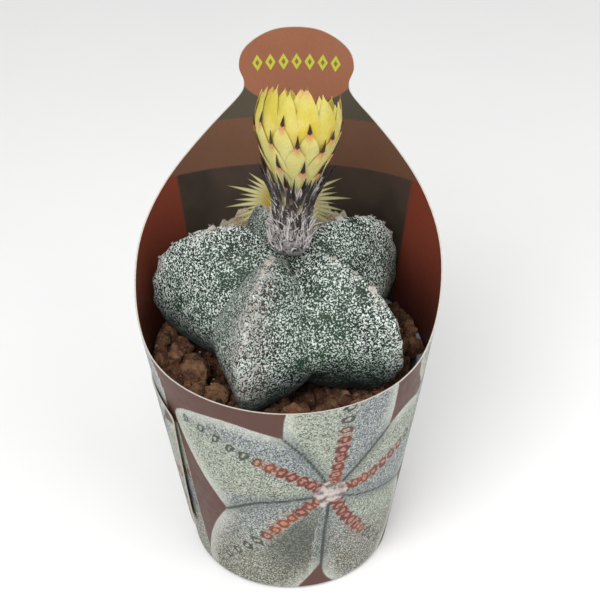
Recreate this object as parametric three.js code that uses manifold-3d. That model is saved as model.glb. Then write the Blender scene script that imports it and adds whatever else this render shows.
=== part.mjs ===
// A bishop's cap cactus (five ribs, one yellow flower) in a round nursery pot, inside a printed card sleeve
// whose back stands up as a header. Millimetres, +Z up. The origin is the middle of the pot's underside.
// An azimuth is in degrees, from the front (-Y) towards the right (+X); the header is at 180.
import * as THREE from "three";
import { mergeVertices } from "three/addons/utils/BufferGeometryUtils.js";
import Module from "manifold-3d";

const wasm = await Module();
wasm.setup();

// ---- Driving dimensions ----
const clearance = 0.3; // between pieces that touch in the real object

const cardThickness = 0.5;
// Outside radii, the height of the bottom edge, and how far the front's edge stands over the pot.
const sleeve = { bottomRadius: 33.0, rimRadius: 46.0, bottom: 1.2, aboveRim: 12.4 };
// The card's back: height above the rim, and half the angle that the card still spans at that height.
const backOutline = [
  [0, 130], [1.2, 114], [3.6, 104], [8.6, 94], [13.6, 86], [19.6, 75.5], [25.6, 64], [33.6, 48.8],
  [41.6, 35.4], [48.6, 24.5], [52.6, 19.3], [56.1, 18], [61.1, 19.5], [65.6, 18.4], [69.6, 14],
  [72.1, 8.2], [73.1, 1.5],
];
// The locking tab at the card's end, on the outside: height, and the azimuth of its free edge.
const tabOutline = [[15.8, -56.7], [27, -55.5], [44, -52.5], [61, -49.9], [69, -49.1], [72, -54.3]];
const tabRoot = { azimuth: -80, sunk: 0.25, lift: 1.0 };

const pot = { height: 74, rimDepth: 7, rimWidth: 2.4, wall: 1.1, floor: 3.2 };
const potTaper = { ledge: 1.57, footGap: 2.1 }; // the wall's distance in from the rim, and at the foot from the sleeve
const drain = { count: 6, radius: 3.6, circle: 19.5 };

const soil = { belowRim: 6.4, roughness: 1.0 };

const stem = {
  // Each rib: azimuth, gap from its crest to the sleeve, its crest's rise over the grooves, squareness of its
  // upper outline. The other heights are above the soil's level, and the bottom lies under it.
  ribs: [
    [-102.3, 1.1, 7, 2.2], [-16.3, 5.4, 5.5, 2.6], [59.7, 4.4, 4, 2.2],
    [129.7, 2.9, 3.5, 2.8], [200.7, 3.4, 4, 2.2],
  ],
  waist: 21.4, bottom: -1.6, lowerSquareness: 2.2,
  grooveDepth: 13.7, grooveTop: 45.9, grooveSquareness: 1.5, // depth below the lowest crest
  flankBulge: 1.0, crestBlunt: 0.07, grooveBlunt: 0.12,
  dimpleDepth: 3, dimpleRadius: 9, flatCrown: 16,
};

// The seat is above the dimple's floor, and the flower leans towards +X and back, away from the front.
const flower = { x: 1.0, y: 1.0, seat: 2.9, lean: 3.5, leanBack: 6 };
// The innermost ring of tepals, outside: height above the flower's base, and radius over the tube's mouth's.
const tepalProfile = [
  [10, -1.7], [16, -1.6], [19, -1.1], [22, -0.1], [25, 1.2], [31.6, 4.3], [38, 6.5], [43, 7.2],
  [48, 6.8], [53, 5.2], [57, 3.6],
];
const tepalRings = [
  { name: "tube_scale", count: 9, from: 12, to: 27, layer: 3, halfWidth: 1.9, turn: 0, colour: 0x4a3b33 },
  { name: "tepal_outer", count: 9, from: 19, to: 33, layer: 2, halfWidth: 3.4, turn: 20, colour: 0xd9d48a },
  { name: "tepal_middle", count: 10, from: 22, to: 40, layer: 1, halfWidth: 3.7, turn: 0, colour: 0xe3db7c },
  { name: "tepal_inner", count: 12, from: 24, to: 51, layer: 0, halfWidth: 2.9, turn: 15, colour: 0xe8da4c },
];
// tipStep: how much neighbouring tips differ in height. frontRise: in the rings that reach over risesAbove, how
// much higher the front tips stand than the side ones, and how much lower the back ones.
const tepal = { thickness: 0.45, ringStep: 1.0, tipHalfWidth: 0.3, tipStep: 1.5, frontRise: 3.3, risesAbove: 40 };
const tube = { foot: 3.8, neck: 4.6, mouth: 5.0, height: 24, cupDepth: 7, wall: 1.0 };
const wool = { radius: 7.6, height: 9.5 };
const stamens = { gap: 1.0, wall: 1.1, spread: 2.6, to: 38 }; // gap to the cup's wall, at the foot
const style = { radius: 0.8, to: 43, stigmaRadius: 2.0 };

// Loose clods: azimuth, distance in from the pot's wall, height above the soil, half-sizes along, across, up.
const clods = [
  [-70, 8.2, 5.0, 6.8, 5.6, 4.6], [-45, 8.1, 4.4, 5.4, 4.6, 3.8], [-90, 3.0, 2.6, 2.6, 2.2, 2.2],
  [10, 7.6, 4.0, 3.7, 3.2, 3.0], [26, 8.8, 4.2, 3.3, 3.1, 2.8], [40, 5.0, 3.8, 3.2, 2.8, 2.5],
  [92, 7.0, 4.6, 5.0, 4.6, 3.8], [109, 3.3, 3.4, 3.2, 2.8, 2.6], [160, 9.0, 4.4, 5.2, 4.4, 3.9],
  [174, 3.6, 3.2, 3.0, 2.6, 2.5], [226, 8.6, 4.4, 5.0, 4.6, 3.6], [243, 4.0, 3.4, 2.9, 2.7, 2.5],
];

// ---- Values worked out from them ----
const radians = THREE.MathUtils.degToRad;
const sleeveRim = pot.height + sleeve.aboveRim;
const sleeveSlope = (sleeve.rimRadius - sleeve.bottomRadius) / sleeveRim;
const sleeveOutside = (z) => sleeve.bottomRadius + sleeveSlope * z;
const sleeveInside = (z) => sleeveOutside(z) - cardThickness;
const rimOutside = (z) => sleeveInside(z) * Math.cos(radians(4.1)) - clearance; // inside the sleeve's flats
const underRim = pot.height - pot.rimDepth;
const underRimRadius = rimOutside(underRim) - potTaper.ledge;
const baseRadius = rimOutside(0) - potTaper.footGap;
const potInside = (z) => baseRadius + (underRimRadius - baseRadius) * (z / underRim) - pot.wall;
const soilLevel = pot.height - soil.belowRim;
const waist = soilLevel + stem.waist;
const crestRadius = (gap) => sleeveInside(waist) - gap;
const grooveRadius = Math.min(...stem.ribs.map(([, gap]) => crestRadius(gap))) - stem.grooveDepth;
const flowerBase = soilLevel + stem.grooveTop - stem.dimpleDepth + flower.seat;
const cupFloor = tube.height - tube.cupDepth;

// ---- Helpers ----
const at = (azimuth, radius, z) =>
  new THREE.Vector3(radius * Math.sin(radians(azimuth)), -radius * Math.cos(radians(azimuth)), z);

// The value at x of a line through pairs of [x, value].
function along(pairs, x) {
  const next = Math.max(1, pairs.findIndex(([px]) => px >= x));
  const [x0, v0] = pairs[next - 1];
  const [x1, v1] = pairs[next];
  return v0 + ((v1 - v0) * (x - x0)) / (x1 - x0);
}

function geometryOf(points, triangles) {
  const geometry = new THREE.BufferGeometry().setFromPoints(points);
  geometry.setIndex(triangles);
  return geometry;
}

// A solid between two grids of points that have the same rows and columns: front faces out, back faces in.
function plate(front, back) {
  const rows = front.length;
  const columns = front[0].length;
  const id = (side, i, j) => side * rows * columns + i * columns + j;
  const triangles = [];
  const quad = (a, b, c, d) => triangles.push(a, b, c, a, c, d);
  for (let i = 0; i + 1 < rows; i++)
    for (let j = 0; j + 1 < columns; j++) {
      quad(id(0, i, j), id(0, i, j + 1), id(0, i + 1, j + 1), id(0, i + 1, j));
      quad(id(1, i, j), id(1, i + 1, j), id(1, i + 1, j + 1), id(1, i, j + 1));
    }
  for (let j = 0; j + 1 < columns; j++) {
    quad(id(0, 0, j), id(1, 0, j), id(1, 0, j + 1), id(0, 0, j + 1));
    quad(id(0, rows - 1, j), id(0, rows - 1, j + 1), id(1, rows - 1, j + 1), id(1, rows - 1, j));
  }
  for (let i = 0; i + 1 < rows; i++) {
    quad(id(0, i, 0), id(0, i + 1, 0), id(1, i + 1, 0), id(1, i, 0));
    quad(id(0, i, columns - 1), id(1, i, columns - 1), id(1, i + 1, columns - 1), id(0, i + 1, columns - 1));
  }
  return geometryOf([...front.flat(), ...back.flat()], triangles);
}

// A closed skin through rings of points, from a bottom point to a top point. Rings run by rising azimuth.
function skin(bottomPoint, rings, topPoint) {
  const count = rings[0].length;
  const points = [...rings.flat(), bottomPoint, topPoint];
  const bottomId = points.length - 2;
  const topId = points.length - 1;
  const triangles = [];
  for (let j = 0; j < count; j++) {
    const k = (j + 1) % count;
    triangles.push(bottomId, k, j);
    for (let i = 0; i + 1 < rings.length; i++) {
      const [a, b] = [i * count, (i + 1) * count];
      triangles.push(a + j, a + k, b + k, a + j, b + k, b + j);
    }
    const last = (rings.length - 1) * count;
    triangles.push(last + j, last + k, topId);
  }
  return geometryOf(points, triangles);
}

// A closed profile of [radius, height] pairs, turned about the Z axis.
function turned(profile, segments) {
  const points = [...profile, profile[0]].map(([r, z]) => new THREE.Vector2(r, z));
  return new THREE.LatheGeometry(points, segments).rotateX(Math.PI / 2);
}

function solid(geometry) {
  const bare = geometry.clone();
  bare.deleteAttribute("normal");
  bare.deleteAttribute("uv");
  const merged = mergeVertices(bare, 1e-4);
  return new wasm.Manifold(
    new wasm.Mesh({
      numProp: 3,
      vertProperties: merged.attributes.position.array,
      triVerts: new Uint32Array(merged.index.array),
    }),
  );
}

function meshGeometry(manifold) {
  const { vertProperties, triVerts } = manifold.getMesh();
  const geometry = new THREE.BufferGeometry();
  geometry.setAttribute("position", new THREE.BufferAttribute(vertProperties, 3));
  geometry.setIndex(new THREE.BufferAttribute(triVerts, 1));
  return geometry;
}

const object = new THREE.Group();
function add(parent, name, geometry, colour, roughness) {
  const material = new THREE.MeshStandardMaterial({ color: colour, roughness, metalness: 0 });
  const mesh = new THREE.Mesh(geometry, material);
  mesh.name = name;
  parent.add(mesh);
  return mesh;
}

// ---- Pot: tapered wall, wide rim that wedges in the sleeve, drain holes through the floor ----
function potGeometry() {
  const rimInside = rimOutside(pot.height) - pot.rimWidth;
  const body = solid(turned([
    [0, pot.floor], [0, 0], [baseRadius - 1, 0], [baseRadius, 1],
    [underRimRadius, underRim], [rimOutside(underRim), underRim],
    [rimOutside(pot.height), pot.height], [rimInside, pot.height], [rimInside - 0.4, pot.height - 1.5],
    [potInside(underRim), underRim - 2], [potInside(pot.floor), pot.floor],
  ], 44));
  let made = body;
  for (let i = 0; i < drain.count; i++) {
    const upright = new THREE.CylinderGeometry(drain.radius, drain.radius, 3 * pot.floor, 12);
    const hole = upright.rotateX(Math.PI / 2);
    const place = at(((i + 0.5) * 360) / drain.count, drain.circle, pot.floor / 2);
    made = made.subtract(solid(hole.translate(place.x, place.y, place.z)));
  }
  return meshGeometry(made);
}

// ---- Sleeve: one card wrapped to a cone, its back cut to a header, its end locked by an outside tab ----
function sleeveGeometry() {
  const backColumns = 32;
  const frontColumns = 12;
  const start = backOutline[0][1];
  const turns = [];
  for (let j = 0; j <= backColumns; j++) turns.push(180 + start * ((2 * j) / backColumns - 1));
  for (let j = 1; j < frontColumns; j++) turns.push(180 + start + ((360 - 2 * start) * j) / frontColumns);
  const narrowed = (half) => (_, j) => 180 + half * ((2 * j) / backColumns - 1);
  const rowsOf = (radius) => [
    turns.map((azimuth) => at(azimuth, radius(sleeve.bottom), sleeve.bottom)),
    ...backOutline.map(([above, half], row) => {
      const z = sleeveRim + above;
      const azimuths = row === 0 ? turns : turns.slice(0, backColumns + 1).map(narrowed(half));
      return azimuths.map((azimuth) => at(azimuth, radius(z), z));
    }),
  ];
  const sides = [rowsOf(sleeveOutside), rowsOf(sleeveInside)];
  const points = sides.flat(2);
  const rowStart = [];
  sides.flat().reduce((sum, row, n) => ((rowStart[n] = sum), sum + row.length), 0);
  const rows = sides[0].length;
  const id = (side, i, j) => rowStart[side * rows + i] + (j % sides[side][i].length);
  const triangles = [];
  const quad = (a, b, c, d) => triangles.push(a, b, c, a, c, d);
  const around = turns.length;
  for (let i = 0; i + 1 < rows; i++) {
    const columns = i === 0 ? around : backColumns;
    for (let j = 0; j < columns; j++) {
      quad(id(0, i, j), id(0, i, j + 1), id(0, i + 1, j + 1), id(0, i + 1, j));
      quad(id(1, i, j), id(1, i + 1, j), id(1, i + 1, j + 1), id(1, i, j + 1));
    }
  }
  for (let j = 0; j < around; j++) quad(id(0, 0, j), id(1, 0, j), id(1, 0, j + 1), id(0, 0, j + 1));
  for (let j = backColumns; j < around; j++) quad(id(0, 1, j), id(0, 1, j + 1), id(1, 1, j + 1), id(1, 1, j));
  for (let j = 0; j < backColumns; j++)
    quad(id(0, rows - 1, j), id(0, rows - 1, j + 1), id(1, rows - 1, j + 1), id(1, rows - 1, j));
  for (let i = 1; i + 1 < rows; i++) {
    quad(id(0, i, 0), id(0, i + 1, 0), id(1, i + 1, 0), id(1, i, 0));
    quad(id(0, i, backColumns), id(1, i, backColumns), id(1, i + 1, backColumns), id(0, i + 1, backColumns));
  }
  const cone = solid(geometryOf(points, triangles));
  return meshGeometry(cone.add(solid(tabGeometry())));
}

function tabGeometry() {
  const columns = 5;
  const grid = (outward) =>
    tabOutline.map(([z, edge]) =>
      Array.from({ length: columns + 1 }, (_, j) => {
        const share = j / columns;
        const rise = -tabRoot.sunk + (tabRoot.sunk + tabRoot.lift) * share ** 2;
        const azimuth = tabRoot.azimuth + (edge - tabRoot.azimuth) * share;
        return at(azimuth, sleeveOutside(z) + rise + outward, z);
      }),
    );
  return plate(grid(cardThickness), grid(0));
}

// ---- Cactus stem: a squat globe with sharp crests and grooves between them ----
// The flank at an azimuth: its share of the way from crest (0) to groove (1), half its span, its rib's values.
function flankAt(azimuth) {
  const ribs = stem.ribs;
  const turn = (((azimuth - ribs[0][0]) % 360) + 360) % 360;
  const starts = [...ribs.map(([rib]) => rib - ribs[0][0]), 360];
  const next = starts.findIndex((start) => start > turn);
  const span = starts[next] - starts[next - 1];
  const place = (turn - starts[next - 1]) / span;
  const [, gap, rise, squareness] = ribs[(place < 0.5 ? next - 1 : next) % ribs.length];
  const share = 1 - Math.abs(2 * place - 1);
  return { share, half: radians(span / 2), crest: crestRadius(gap), rise, squareness };
}

// A share from 0 to 1 that starts flat, so that a corner at 0 is rounded.
const eased = (share, blunt) => (Math.hypot(share, blunt) - blunt) / (Math.hypot(1, blunt) - blunt);

function sectionRadius({ share, half, crest }) {
  const t = 1 - eased(1 - eased(share, stem.crestBlunt), stem.grooveBlunt);
  const reach = crest * Math.sin(t * half) + grooveRadius * Math.sin((1 - t) * half);
  const straight = (crest * grooveRadius * Math.sin(half)) / reach;
  return straight + stem.flankBulge * Math.sin(Math.PI * t);
}

// A point of the skin at an angle alpha from the top. swell moves it outwards, for what has to stay clear.
function stemPoint(azimuth, alpha, swell) {
  const flank = flankAt(azimuth);
  const above = Math.cos(alpha) >= 0;
  const crestSquareness = above ? flank.squareness : stem.lowerSquareness;
  const squareness = THREE.MathUtils.lerp(crestSquareness, stem.grooveSquareness, flank.share);
  const sine = Math.sin(alpha) ** (2 / squareness);
  const cosine = Math.abs(Math.cos(alpha)) ** (2 / squareness);
  const radius = sectionRadius(flank) * sine;
  const crestward = (1 - flank.share) * THREE.MathUtils.smoothstep(radius, 0, stem.flatCrown);
  const top = stem.grooveTop + flank.rise * crestward;
  const dimple = above ? stem.dimpleDepth * Math.exp(-((radius / stem.dimpleRadius) ** 2)) : 0;
  const z = waist + ((above ? top : stem.bottom) - stem.waist) * cosine - dimple;
  return at(azimuth, radius + swell * Math.sin(alpha), z + swell * Math.cos(alpha));
}

function stemGeometry(swell) {
  const around = 60;
  const levels = 14;
  const rings = [];
  for (let i = levels - 1; i > 0; i--) {
    const alpha = Math.PI * (i / levels) ** 1.3; // closer together round the dimple
    rings.push(Array.from({ length: around }, (_, j) => stemPoint((360 * j) / around, alpha, swell)));
  }
  return skin(stemPoint(0, Math.PI, swell), rings, stemPoint(0, 0, swell));
}

// ---- Soil: fills the pot, with sockets for the stem and the clods ----
const wobble = (azimuth, radius, n) => {
  const a = radians(azimuth);
  return Math.sin(3 * a + 1.7 * n + radius / 5) * Math.cos(5 * a - n + radius / 7);
};

function clodGeometry([azimuth, inset, above, sizeAlong, sizeAcross, sizeUp], n, swell) {
  const ball = new THREE.IcosahedronGeometry(1, 1).deleteAttribute("normal").deleteAttribute("uv");
  const clod = mergeVertices(ball);
  const position = clod.attributes.position;
  const place = at(azimuth, potInside(soilLevel) - inset, soilLevel + above);
  const point = new THREE.Vector3();
  for (let i = 0; i < position.count; i++) {
    point.fromBufferAttribute(position, i);
    const finer = 0.08 * Math.sin(6.3 * point.y - 2 * n + 4 * point.z);
    const lump = 1 + 0.1 * Math.sin(5.1 * point.x + 3 * n) + finer;
    point.multiply(new THREE.Vector3(sizeAlong, sizeAcross, sizeUp)).multiplyScalar(lump);
    point.setLength(point.length() + swell);
    point.applyAxisAngle(new THREE.Vector3(0, 0, 1), radians(azimuth + 37 * n)).add(place);
    position.setXYZ(i, point.x, point.y, point.z);
  }
  return clod;
}

function soilGeometry() {
  const around = 44;
  const shares = [1, 0.88, 0.74, 0.6, 0.45, 0.3, 0.15];
  const wallRadius = (z) => potInside(z) - clearance - 0.1;
  const low = pot.floor + clearance;
  const azimuths = Array.from({ length: around }, (_, j) => (360 * j) / around);
  const topRings = shares.map((share, n) =>
    azimuths.map((azimuth) => {
      const radius = wallRadius(soilLevel - soil.roughness - 3) * share;
      const edgeDrop = n === 0 ? 2 : 0;
      return at(azimuth, radius, soilLevel - edgeDrop + soil.roughness * wobble(azimuth, radius, n));
    }),
  );
  const rings = [azimuths.map((azimuth) => at(azimuth, wallRadius(low), low)), ...topRings];
  let made = solid(skin(at(0, 0, low), rings, at(0, 0, soilLevel)));
  made = made.subtract(solid(stemGeometry(3 * clearance)));
  clods.forEach((clod, n) => (made = made.subtract(solid(clodGeometry(clod, n, 1.6 * clearance)))));
  return meshGeometry(made);
}

// ---- Flower: a tube with scales, three rings of tepals, stamens and style, in a tuft of wool ----
function tepalGeometry(ring, n) {
  const rows = 6;
  const columns = 2;
  const spacing = 360 / ring.count;
  const middle = ring.turn + spacing * n;
  const rise = ring.to > tepal.risesAbove ? tepal.frontRise * Math.cos(radians(middle)) : 0;
  const top = ring.to + rise - tepal.tipStep * ((n * 7) % 3);
  const grid = (inset) =>
    Array.from({ length: rows + 1 }, (_, i) => {
      const share = i / rows;
      const height = ring.from + (top - ring.from) * share;
      const radius = tube.mouth + along(tepalProfile, height) + tepal.ringStep * ring.layer - inset;
      const shape = Math.sin(Math.PI * (0.22 + 0.78 * share)) ** 0.8;
      const width = Math.max(tepal.tipHalfWidth, ring.halfWidth * shape);
      const widest = spacing / 2 - THREE.MathUtils.radToDeg((1.4 * clearance) / (2 * radius)) - 0.6;
      const half = Math.min(THREE.MathUtils.radToDeg(width / radius), widest);
      const azimuths = Array.from({ length: columns + 1 }, (_, j) => middle + half * ((2 * j) / columns - 1));
      return azimuths.map((azimuth) => at(azimuth, radius, height));
    });
  return plate(grid(0), grid(tepal.thickness));
}

const tubeGeometry = (swell) =>
  turned([
    [0, 0 - swell], [tube.foot + swell, 0 - swell], [tube.neck + swell, tube.height / 2],
    [tube.mouth + swell, tube.height + swell], [tube.mouth - tube.wall, tube.height + swell],
    [tube.neck - tube.wall, cupFloor], [0, cupFloor],
  ], 20);

const flowerFrame = () =>
  new THREE.Matrix4()
    .makeTranslation(flower.x, flower.y, flowerBase)
    .multiply(new THREE.Matrix4().makeRotationY(radians(flower.lean)))
    .multiply(new THREE.Matrix4().makeRotationX(-radians(flower.leanBack)));

// The wool sits in the stem's dimple, round the tube.
function woolGeometry() {
  const rings = [];
  const middle = (z) => new THREE.Vector3(flower.x, flower.y, z);
  const level = (share) => flowerBase + wool.height * (0.42 + 0.55 * share);
  for (const share of [-0.85, -0.5, 0, 0.45, 0.8]) {
    const radius = wool.radius * Math.sqrt(1 - share ** 2);
    rings.push(Array.from({ length: 20 }, (_, j) => at(18 * j, radius, 0).add(middle(level(share)))));
  }
  return meshGeometry(
    solid(skin(middle(level(-1)), rings, middle(level(1))))
      .subtract(solid(stemGeometry(2 * clearance)))
      .subtract(solid(tubeGeometry(1.3 * clearance).applyMatrix4(flowerFrame()))),
  );
}

function flowerGroup() {
  const group = new THREE.Group();
  group.applyMatrix4(flowerFrame());
  add(group, "flower_tube", tubeGeometry(0), 0x6b6a55, 0.9);
  for (const ring of tepalRings)
    for (let n = 0; n < ring.count; n++) {
      const name = ring.name + "_" + String(n + 1).padStart(2, "0");
      add(group, name, tepalGeometry(ring, n), ring.colour, 0.6);
    }
  const foot = cupFloor + 2 * clearance;
  const stamenFoot = tube.neck - tube.wall - stamens.gap;
  const stamenHead = stamenFoot + stamens.spread;
  const stamenInner = stamenFoot - stamens.wall;
  add(group, "stamens", turned([
    [stamenInner, foot], [stamenFoot, foot], [stamenHead, stamens.to - 4],
    [stamenHead - 1.2, stamens.to], [stamenInner, stamens.to - 2],
  ], 14), 0xe0c040, 0.8);
  add(group, "style", turned([
    [0, foot], [style.radius, foot], [style.radius, style.to - 3],
    [style.stigmaRadius, style.to], [0, style.to + 0.8],
  ], 12), 0xd8cf7a, 0.7);
  return group;
}

// ---- The object ----
add(object, "nursery_pot", potGeometry(), 0x55595c, 0.5);
add(object, "card_sleeve", sleeveGeometry(), 0x8d8f83, 0.45);
add(object, "potting_soil", soilGeometry(), 0x4a2f22, 1.0);
clods.forEach((clod, n) => {
  const name = "soil_clod_" + String(n + 1).padStart(2, "0");
  add(object, name, clodGeometry(clod, n, 0), 0x6b452c, 1.0);
});
add(object, "cactus_stem", stemGeometry(0), 0x7f9285, 0.9);
add(object, "crown_wool", woolGeometry(), 0x8b8278, 1.0);
object.add(flowerGroup());

export default object;
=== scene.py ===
import bmesh
import bpy
import numpy as np
from mathutils import Matrix, Vector


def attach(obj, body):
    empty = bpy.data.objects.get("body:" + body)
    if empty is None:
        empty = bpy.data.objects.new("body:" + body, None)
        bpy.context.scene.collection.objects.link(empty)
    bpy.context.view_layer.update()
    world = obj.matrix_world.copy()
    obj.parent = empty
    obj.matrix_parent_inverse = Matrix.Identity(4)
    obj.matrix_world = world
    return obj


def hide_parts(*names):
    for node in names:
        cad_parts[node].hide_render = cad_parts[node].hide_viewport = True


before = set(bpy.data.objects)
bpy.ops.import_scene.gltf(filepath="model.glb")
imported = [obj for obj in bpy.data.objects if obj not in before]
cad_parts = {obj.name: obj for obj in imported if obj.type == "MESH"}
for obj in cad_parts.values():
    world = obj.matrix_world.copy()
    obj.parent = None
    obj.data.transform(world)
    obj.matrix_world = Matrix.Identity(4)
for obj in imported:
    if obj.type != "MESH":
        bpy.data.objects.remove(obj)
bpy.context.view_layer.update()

# A star cactus with one yellow flower, in a nursery pot inside a printed card sleeve.
# Shapes are worked out in millimetres. An azimuth runs in degrees from the front (-Y) towards the right (+X).
mm = 0.001
dice = np.random.default_rng(11)


# ---------- shapes ----------
def around(azimuth, radius, height):
    turn = np.radians(azimuth)
    return np.stack(np.broadcast_arrays(radius * np.sin(turn), -radius * np.cos(turn), height), -1)


def ease(low, high, value):
    # 0 below low, 1 above high, and a smooth step between
    share = np.clip((value - low) / (high - low), 0, 1)
    return share * share * (3 - 2 * share)


def lumps(points, size, seed=0, octaves=1):
    # Random values at the corners of cubes as wide as size, eased between them, from -1 to 1.
    # Each further octave is half as wide and half as strong.
    total = 0
    for octave in range(octaves):
        place = np.asarray(points) * 2**octave / size + 31.7
        cell = np.floor(place)
        part = place - cell
        part = part * part * (3 - 2 * part)
        for corner in range(8):
            offset = np.array([corner & 1, corner >> 1 & 1, corner >> 2 & 1])
            weight = np.prod(np.where(offset, part, 1 - part), -1)
            mixed = np.sin((cell + offset) @ np.array([12.9898, 78.233, 37.719]) + 4.1 * (seed + octave))
            total = total + weight * (2 * (mixed * 43758.5453 % 1) - 1) * 0.5**octave
    return total


def smoothLine(points, count):
    # A curve through the points, whose direction at each one is from the point before to the point after
    p = np.asarray(points, float)
    p = np.vstack([2 * p[0] - p[1], p, 2 * p[-1] - p[-2]])
    place = np.linspace(0, len(p) - 3 - 1e-9, count)
    n = place.astype(int)
    u = (place - n)[:, None]
    a, b, c, d = p[n], p[n + 1], p[n + 2], p[n + 3]
    return 0.5 * (2 * b + (c - a) * u + (2 * a - 5 * b + 4 * c - d) * u**2 + (3 * b - a - 3 * c + d) * u**3)


def grid(points, uv=None, part=0, flip=False, **fields):
    return {"points": points, "uv": uv, "part": part, "flip": flip, "fields": fields}


def finishMesh(name, points, faces, parts, finishes, uvs=None, fields=None, weld=0.0, sharp=45):
    mesh = bpy.data.meshes.new(name)
    mesh.from_pydata((points * mm).tolist(), [], faces.tolist())
    mesh.polygons.foreach_set("material_index", parts.astype(np.int32))
    mesh.polygons.foreach_set("use_smooth", np.ones(len(faces), bool))
    for field, values in (fields or {}).items():
        mesh.attributes.new(field, "FLOAT", "POINT").data.foreach_set("value", values.astype(np.float32))
    if uvs is not None:
        layer = mesh.uv_layers.new(name="lay")
        layer.data.foreach_set("uv", uvs[faces.ravel()].astype(np.float32).ravel())
    if weld:
        edit = bmesh.new()
        edit.from_mesh(mesh)
        bmesh.ops.remove_doubles(edit, verts=edit.verts, dist=weld * mm)
        bmesh.ops.dissolve_degenerate(edit, edges=edit.edges, dist=1e-8)
        edit.to_mesh(mesh)
        edit.free()
    for finish in finishes:
        mesh.materials.append(finish)
    mesh.set_sharp_from_angle(angle=np.radians(sharp))
    piece = bpy.data.objects.new(name, mesh)
    bpy.context.scene.collection.objects.link(piece)
    return piece


def cornersOf(number):
    # The four neighbours round each cell of a grid of point numbers
    corners = [number[:-1, :-1], number[:-1, 1:], number[1:, 1:], number[1:, :-1]]
    return np.stack(corners, -1).reshape(-1, 4)


def skin(name, grids, finishes, weld=0.004, sharp=45):
    # Joins grids of points: four neighbours make a face, and edges and poles that meet are welded
    names = sorted({field for g in grids for field in g["fields"]})
    points, faces, uvs, parts, start = [], [], [], [], 0
    fields = {field: [] for field in names}
    for g in grids:
        rows, columns = g["points"].shape[:2]
        count = rows * columns
        number = start + np.arange(count).reshape(rows, columns)
        quads = cornersOf(number)
        faces.append(quads[:, ::-1] if g["flip"] else quads)
        points.append(g["points"].reshape(-1, 3))
        parts.append(np.full(len(quads), g["part"]))
        uvs.append(np.zeros((count, 2)) if g["uv"] is None else g["uv"].reshape(-1, 2))
        for field in names:
            values = g["fields"].get(field, 0.0)
            fields[field].append(np.broadcast_to(values, (rows, columns)).ravel())
        start += count
    fields = {field: np.concatenate(values) for field, values in fields.items()}
    return finishMesh(name, np.vstack(points), np.vstack(faces), np.concatenate(parts), finishes,
                      np.vstack(uvs), fields, weld, sharp)


def copies(name, shapes, shapeFaces, finish, sharp=60, **fields):
    # Many copies in one mesh: shapes holds each copy's own points, and a field has one value for each copy
    count, corners = shapes.shape[:2]
    faces = (shapeFaces[None] + (np.arange(count) * corners)[:, None, None]).reshape(-1, shapeFaces.shape[1])
    spread = {field: np.broadcast_to(values.reshape(count, -1), (count, corners)).ravel()
              for field, values in fields.items()}
    points = shapes.reshape(-1, 3)
    return finishMesh(name, points, faces, np.zeros(len(faces)), [finish], None, spread, 0, sharp)


def roundBlock(side):
    # A cube with side by side squares on each face, blown up to a ball: all four-sided, with no poles
    line = np.tan(np.linspace(-1, 1, side + 1) * np.pi / 4)
    across, up = np.meshgrid(line, line)
    level = np.ones_like(across)
    sheets = [(level, across, up), (-level, -across, up), (-across, level, up), (across, -level, up),
              (across, up, level), (-across, up, -level)]
    points = np.concatenate([np.stack(sheet, -1).reshape(-1, 3) for sheet in sheets])
    points /= np.linalg.norm(points, axis=1, keepdims=True)
    size = (side + 1) ** 2
    number = np.arange(size).reshape(side + 1, side + 1)
    quads = cornersOf(number)
    faces = np.concatenate([quads + n * size for n in range(6)])
    _, kept, merged = np.unique(np.round(points, 5), axis=0, return_index=True, return_inverse=True)
    return points[kept], merged.ravel()[faces]


def turns(count):
    # Random rotations, from random unit quaternions
    quaternions = dice.normal(size=(count, 4))
    w, x, y, z = (quaternions / np.linalg.norm(quaternions, axis=1, keepdims=True)).T
    rows = [[1 - 2 * (y * y + z * z), 2 * (x * y - z * w), 2 * (x * z + y * w)],
            [2 * (x * y + z * w), 1 - 2 * (x * x + z * z), 2 * (y * z - x * w)],
            [2 * (x * z - y * w), 2 * (y * z + x * w), 1 - 2 * (x * x + y * y)]]
    return np.array(rows).transpose(2, 0, 1)


def strands(name, paths, outward, width, depth, finish, **fields):
    # Tapered strands with a four-cornered section: paths holds each strand's line, width and depth its
    # half sizes along it, and outward the direction that its flat side faces
    along = np.gradient(paths, axis=1)
    along /= np.linalg.norm(along, axis=2, keepdims=True)
    side = np.cross(along, outward)
    side /= np.linalg.norm(side, axis=2, keepdims=True)
    front = np.cross(side, along)
    wide, deep = side * width[..., None], front * depth[..., None]
    rings = np.stack([paths + wide, paths + deep, paths - wide, paths - deep], 2)
    count, steps = paths.shape[:2]
    n = np.arange(steps - 1)[:, None] * 4
    k = np.arange(4)
    walls = np.stack([n + k, n + (k + 1) % 4, n + 4 + (k + 1) % 4, n + 4 + k], -1).reshape(-1, 4)
    ends = np.array([[3, 2, 1, 0], 4 * (steps - 1) + k])
    spread = {field: np.repeat(np.broadcast_to(values, (count, steps)), 4, axis=1)
              for field, values in fields.items()}
    return copies(name, rings.reshape(count, -1, 3), np.vstack([walls, ends]), finish, 80, **spread)


def keep(piece, slot, *nodes):
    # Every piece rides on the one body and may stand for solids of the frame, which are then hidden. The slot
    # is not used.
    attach(piece, "root")
    if nodes:
        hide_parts(*nodes)
    return piece


def twoDigits(number):
    return str(number).zfill(2)


# ---------- nodes of a material ----------
def tone(red, green, blue):
    # A display colour, 0 to 255, as a linear colour
    shown = np.array([red, green, blue]) / 255
    linear = np.where(shown <= 0.04045, shown / 12.92, ((shown + 0.055) / 1.055) ** 2.4)
    return (*linear.tolist(), 1.0)


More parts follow.
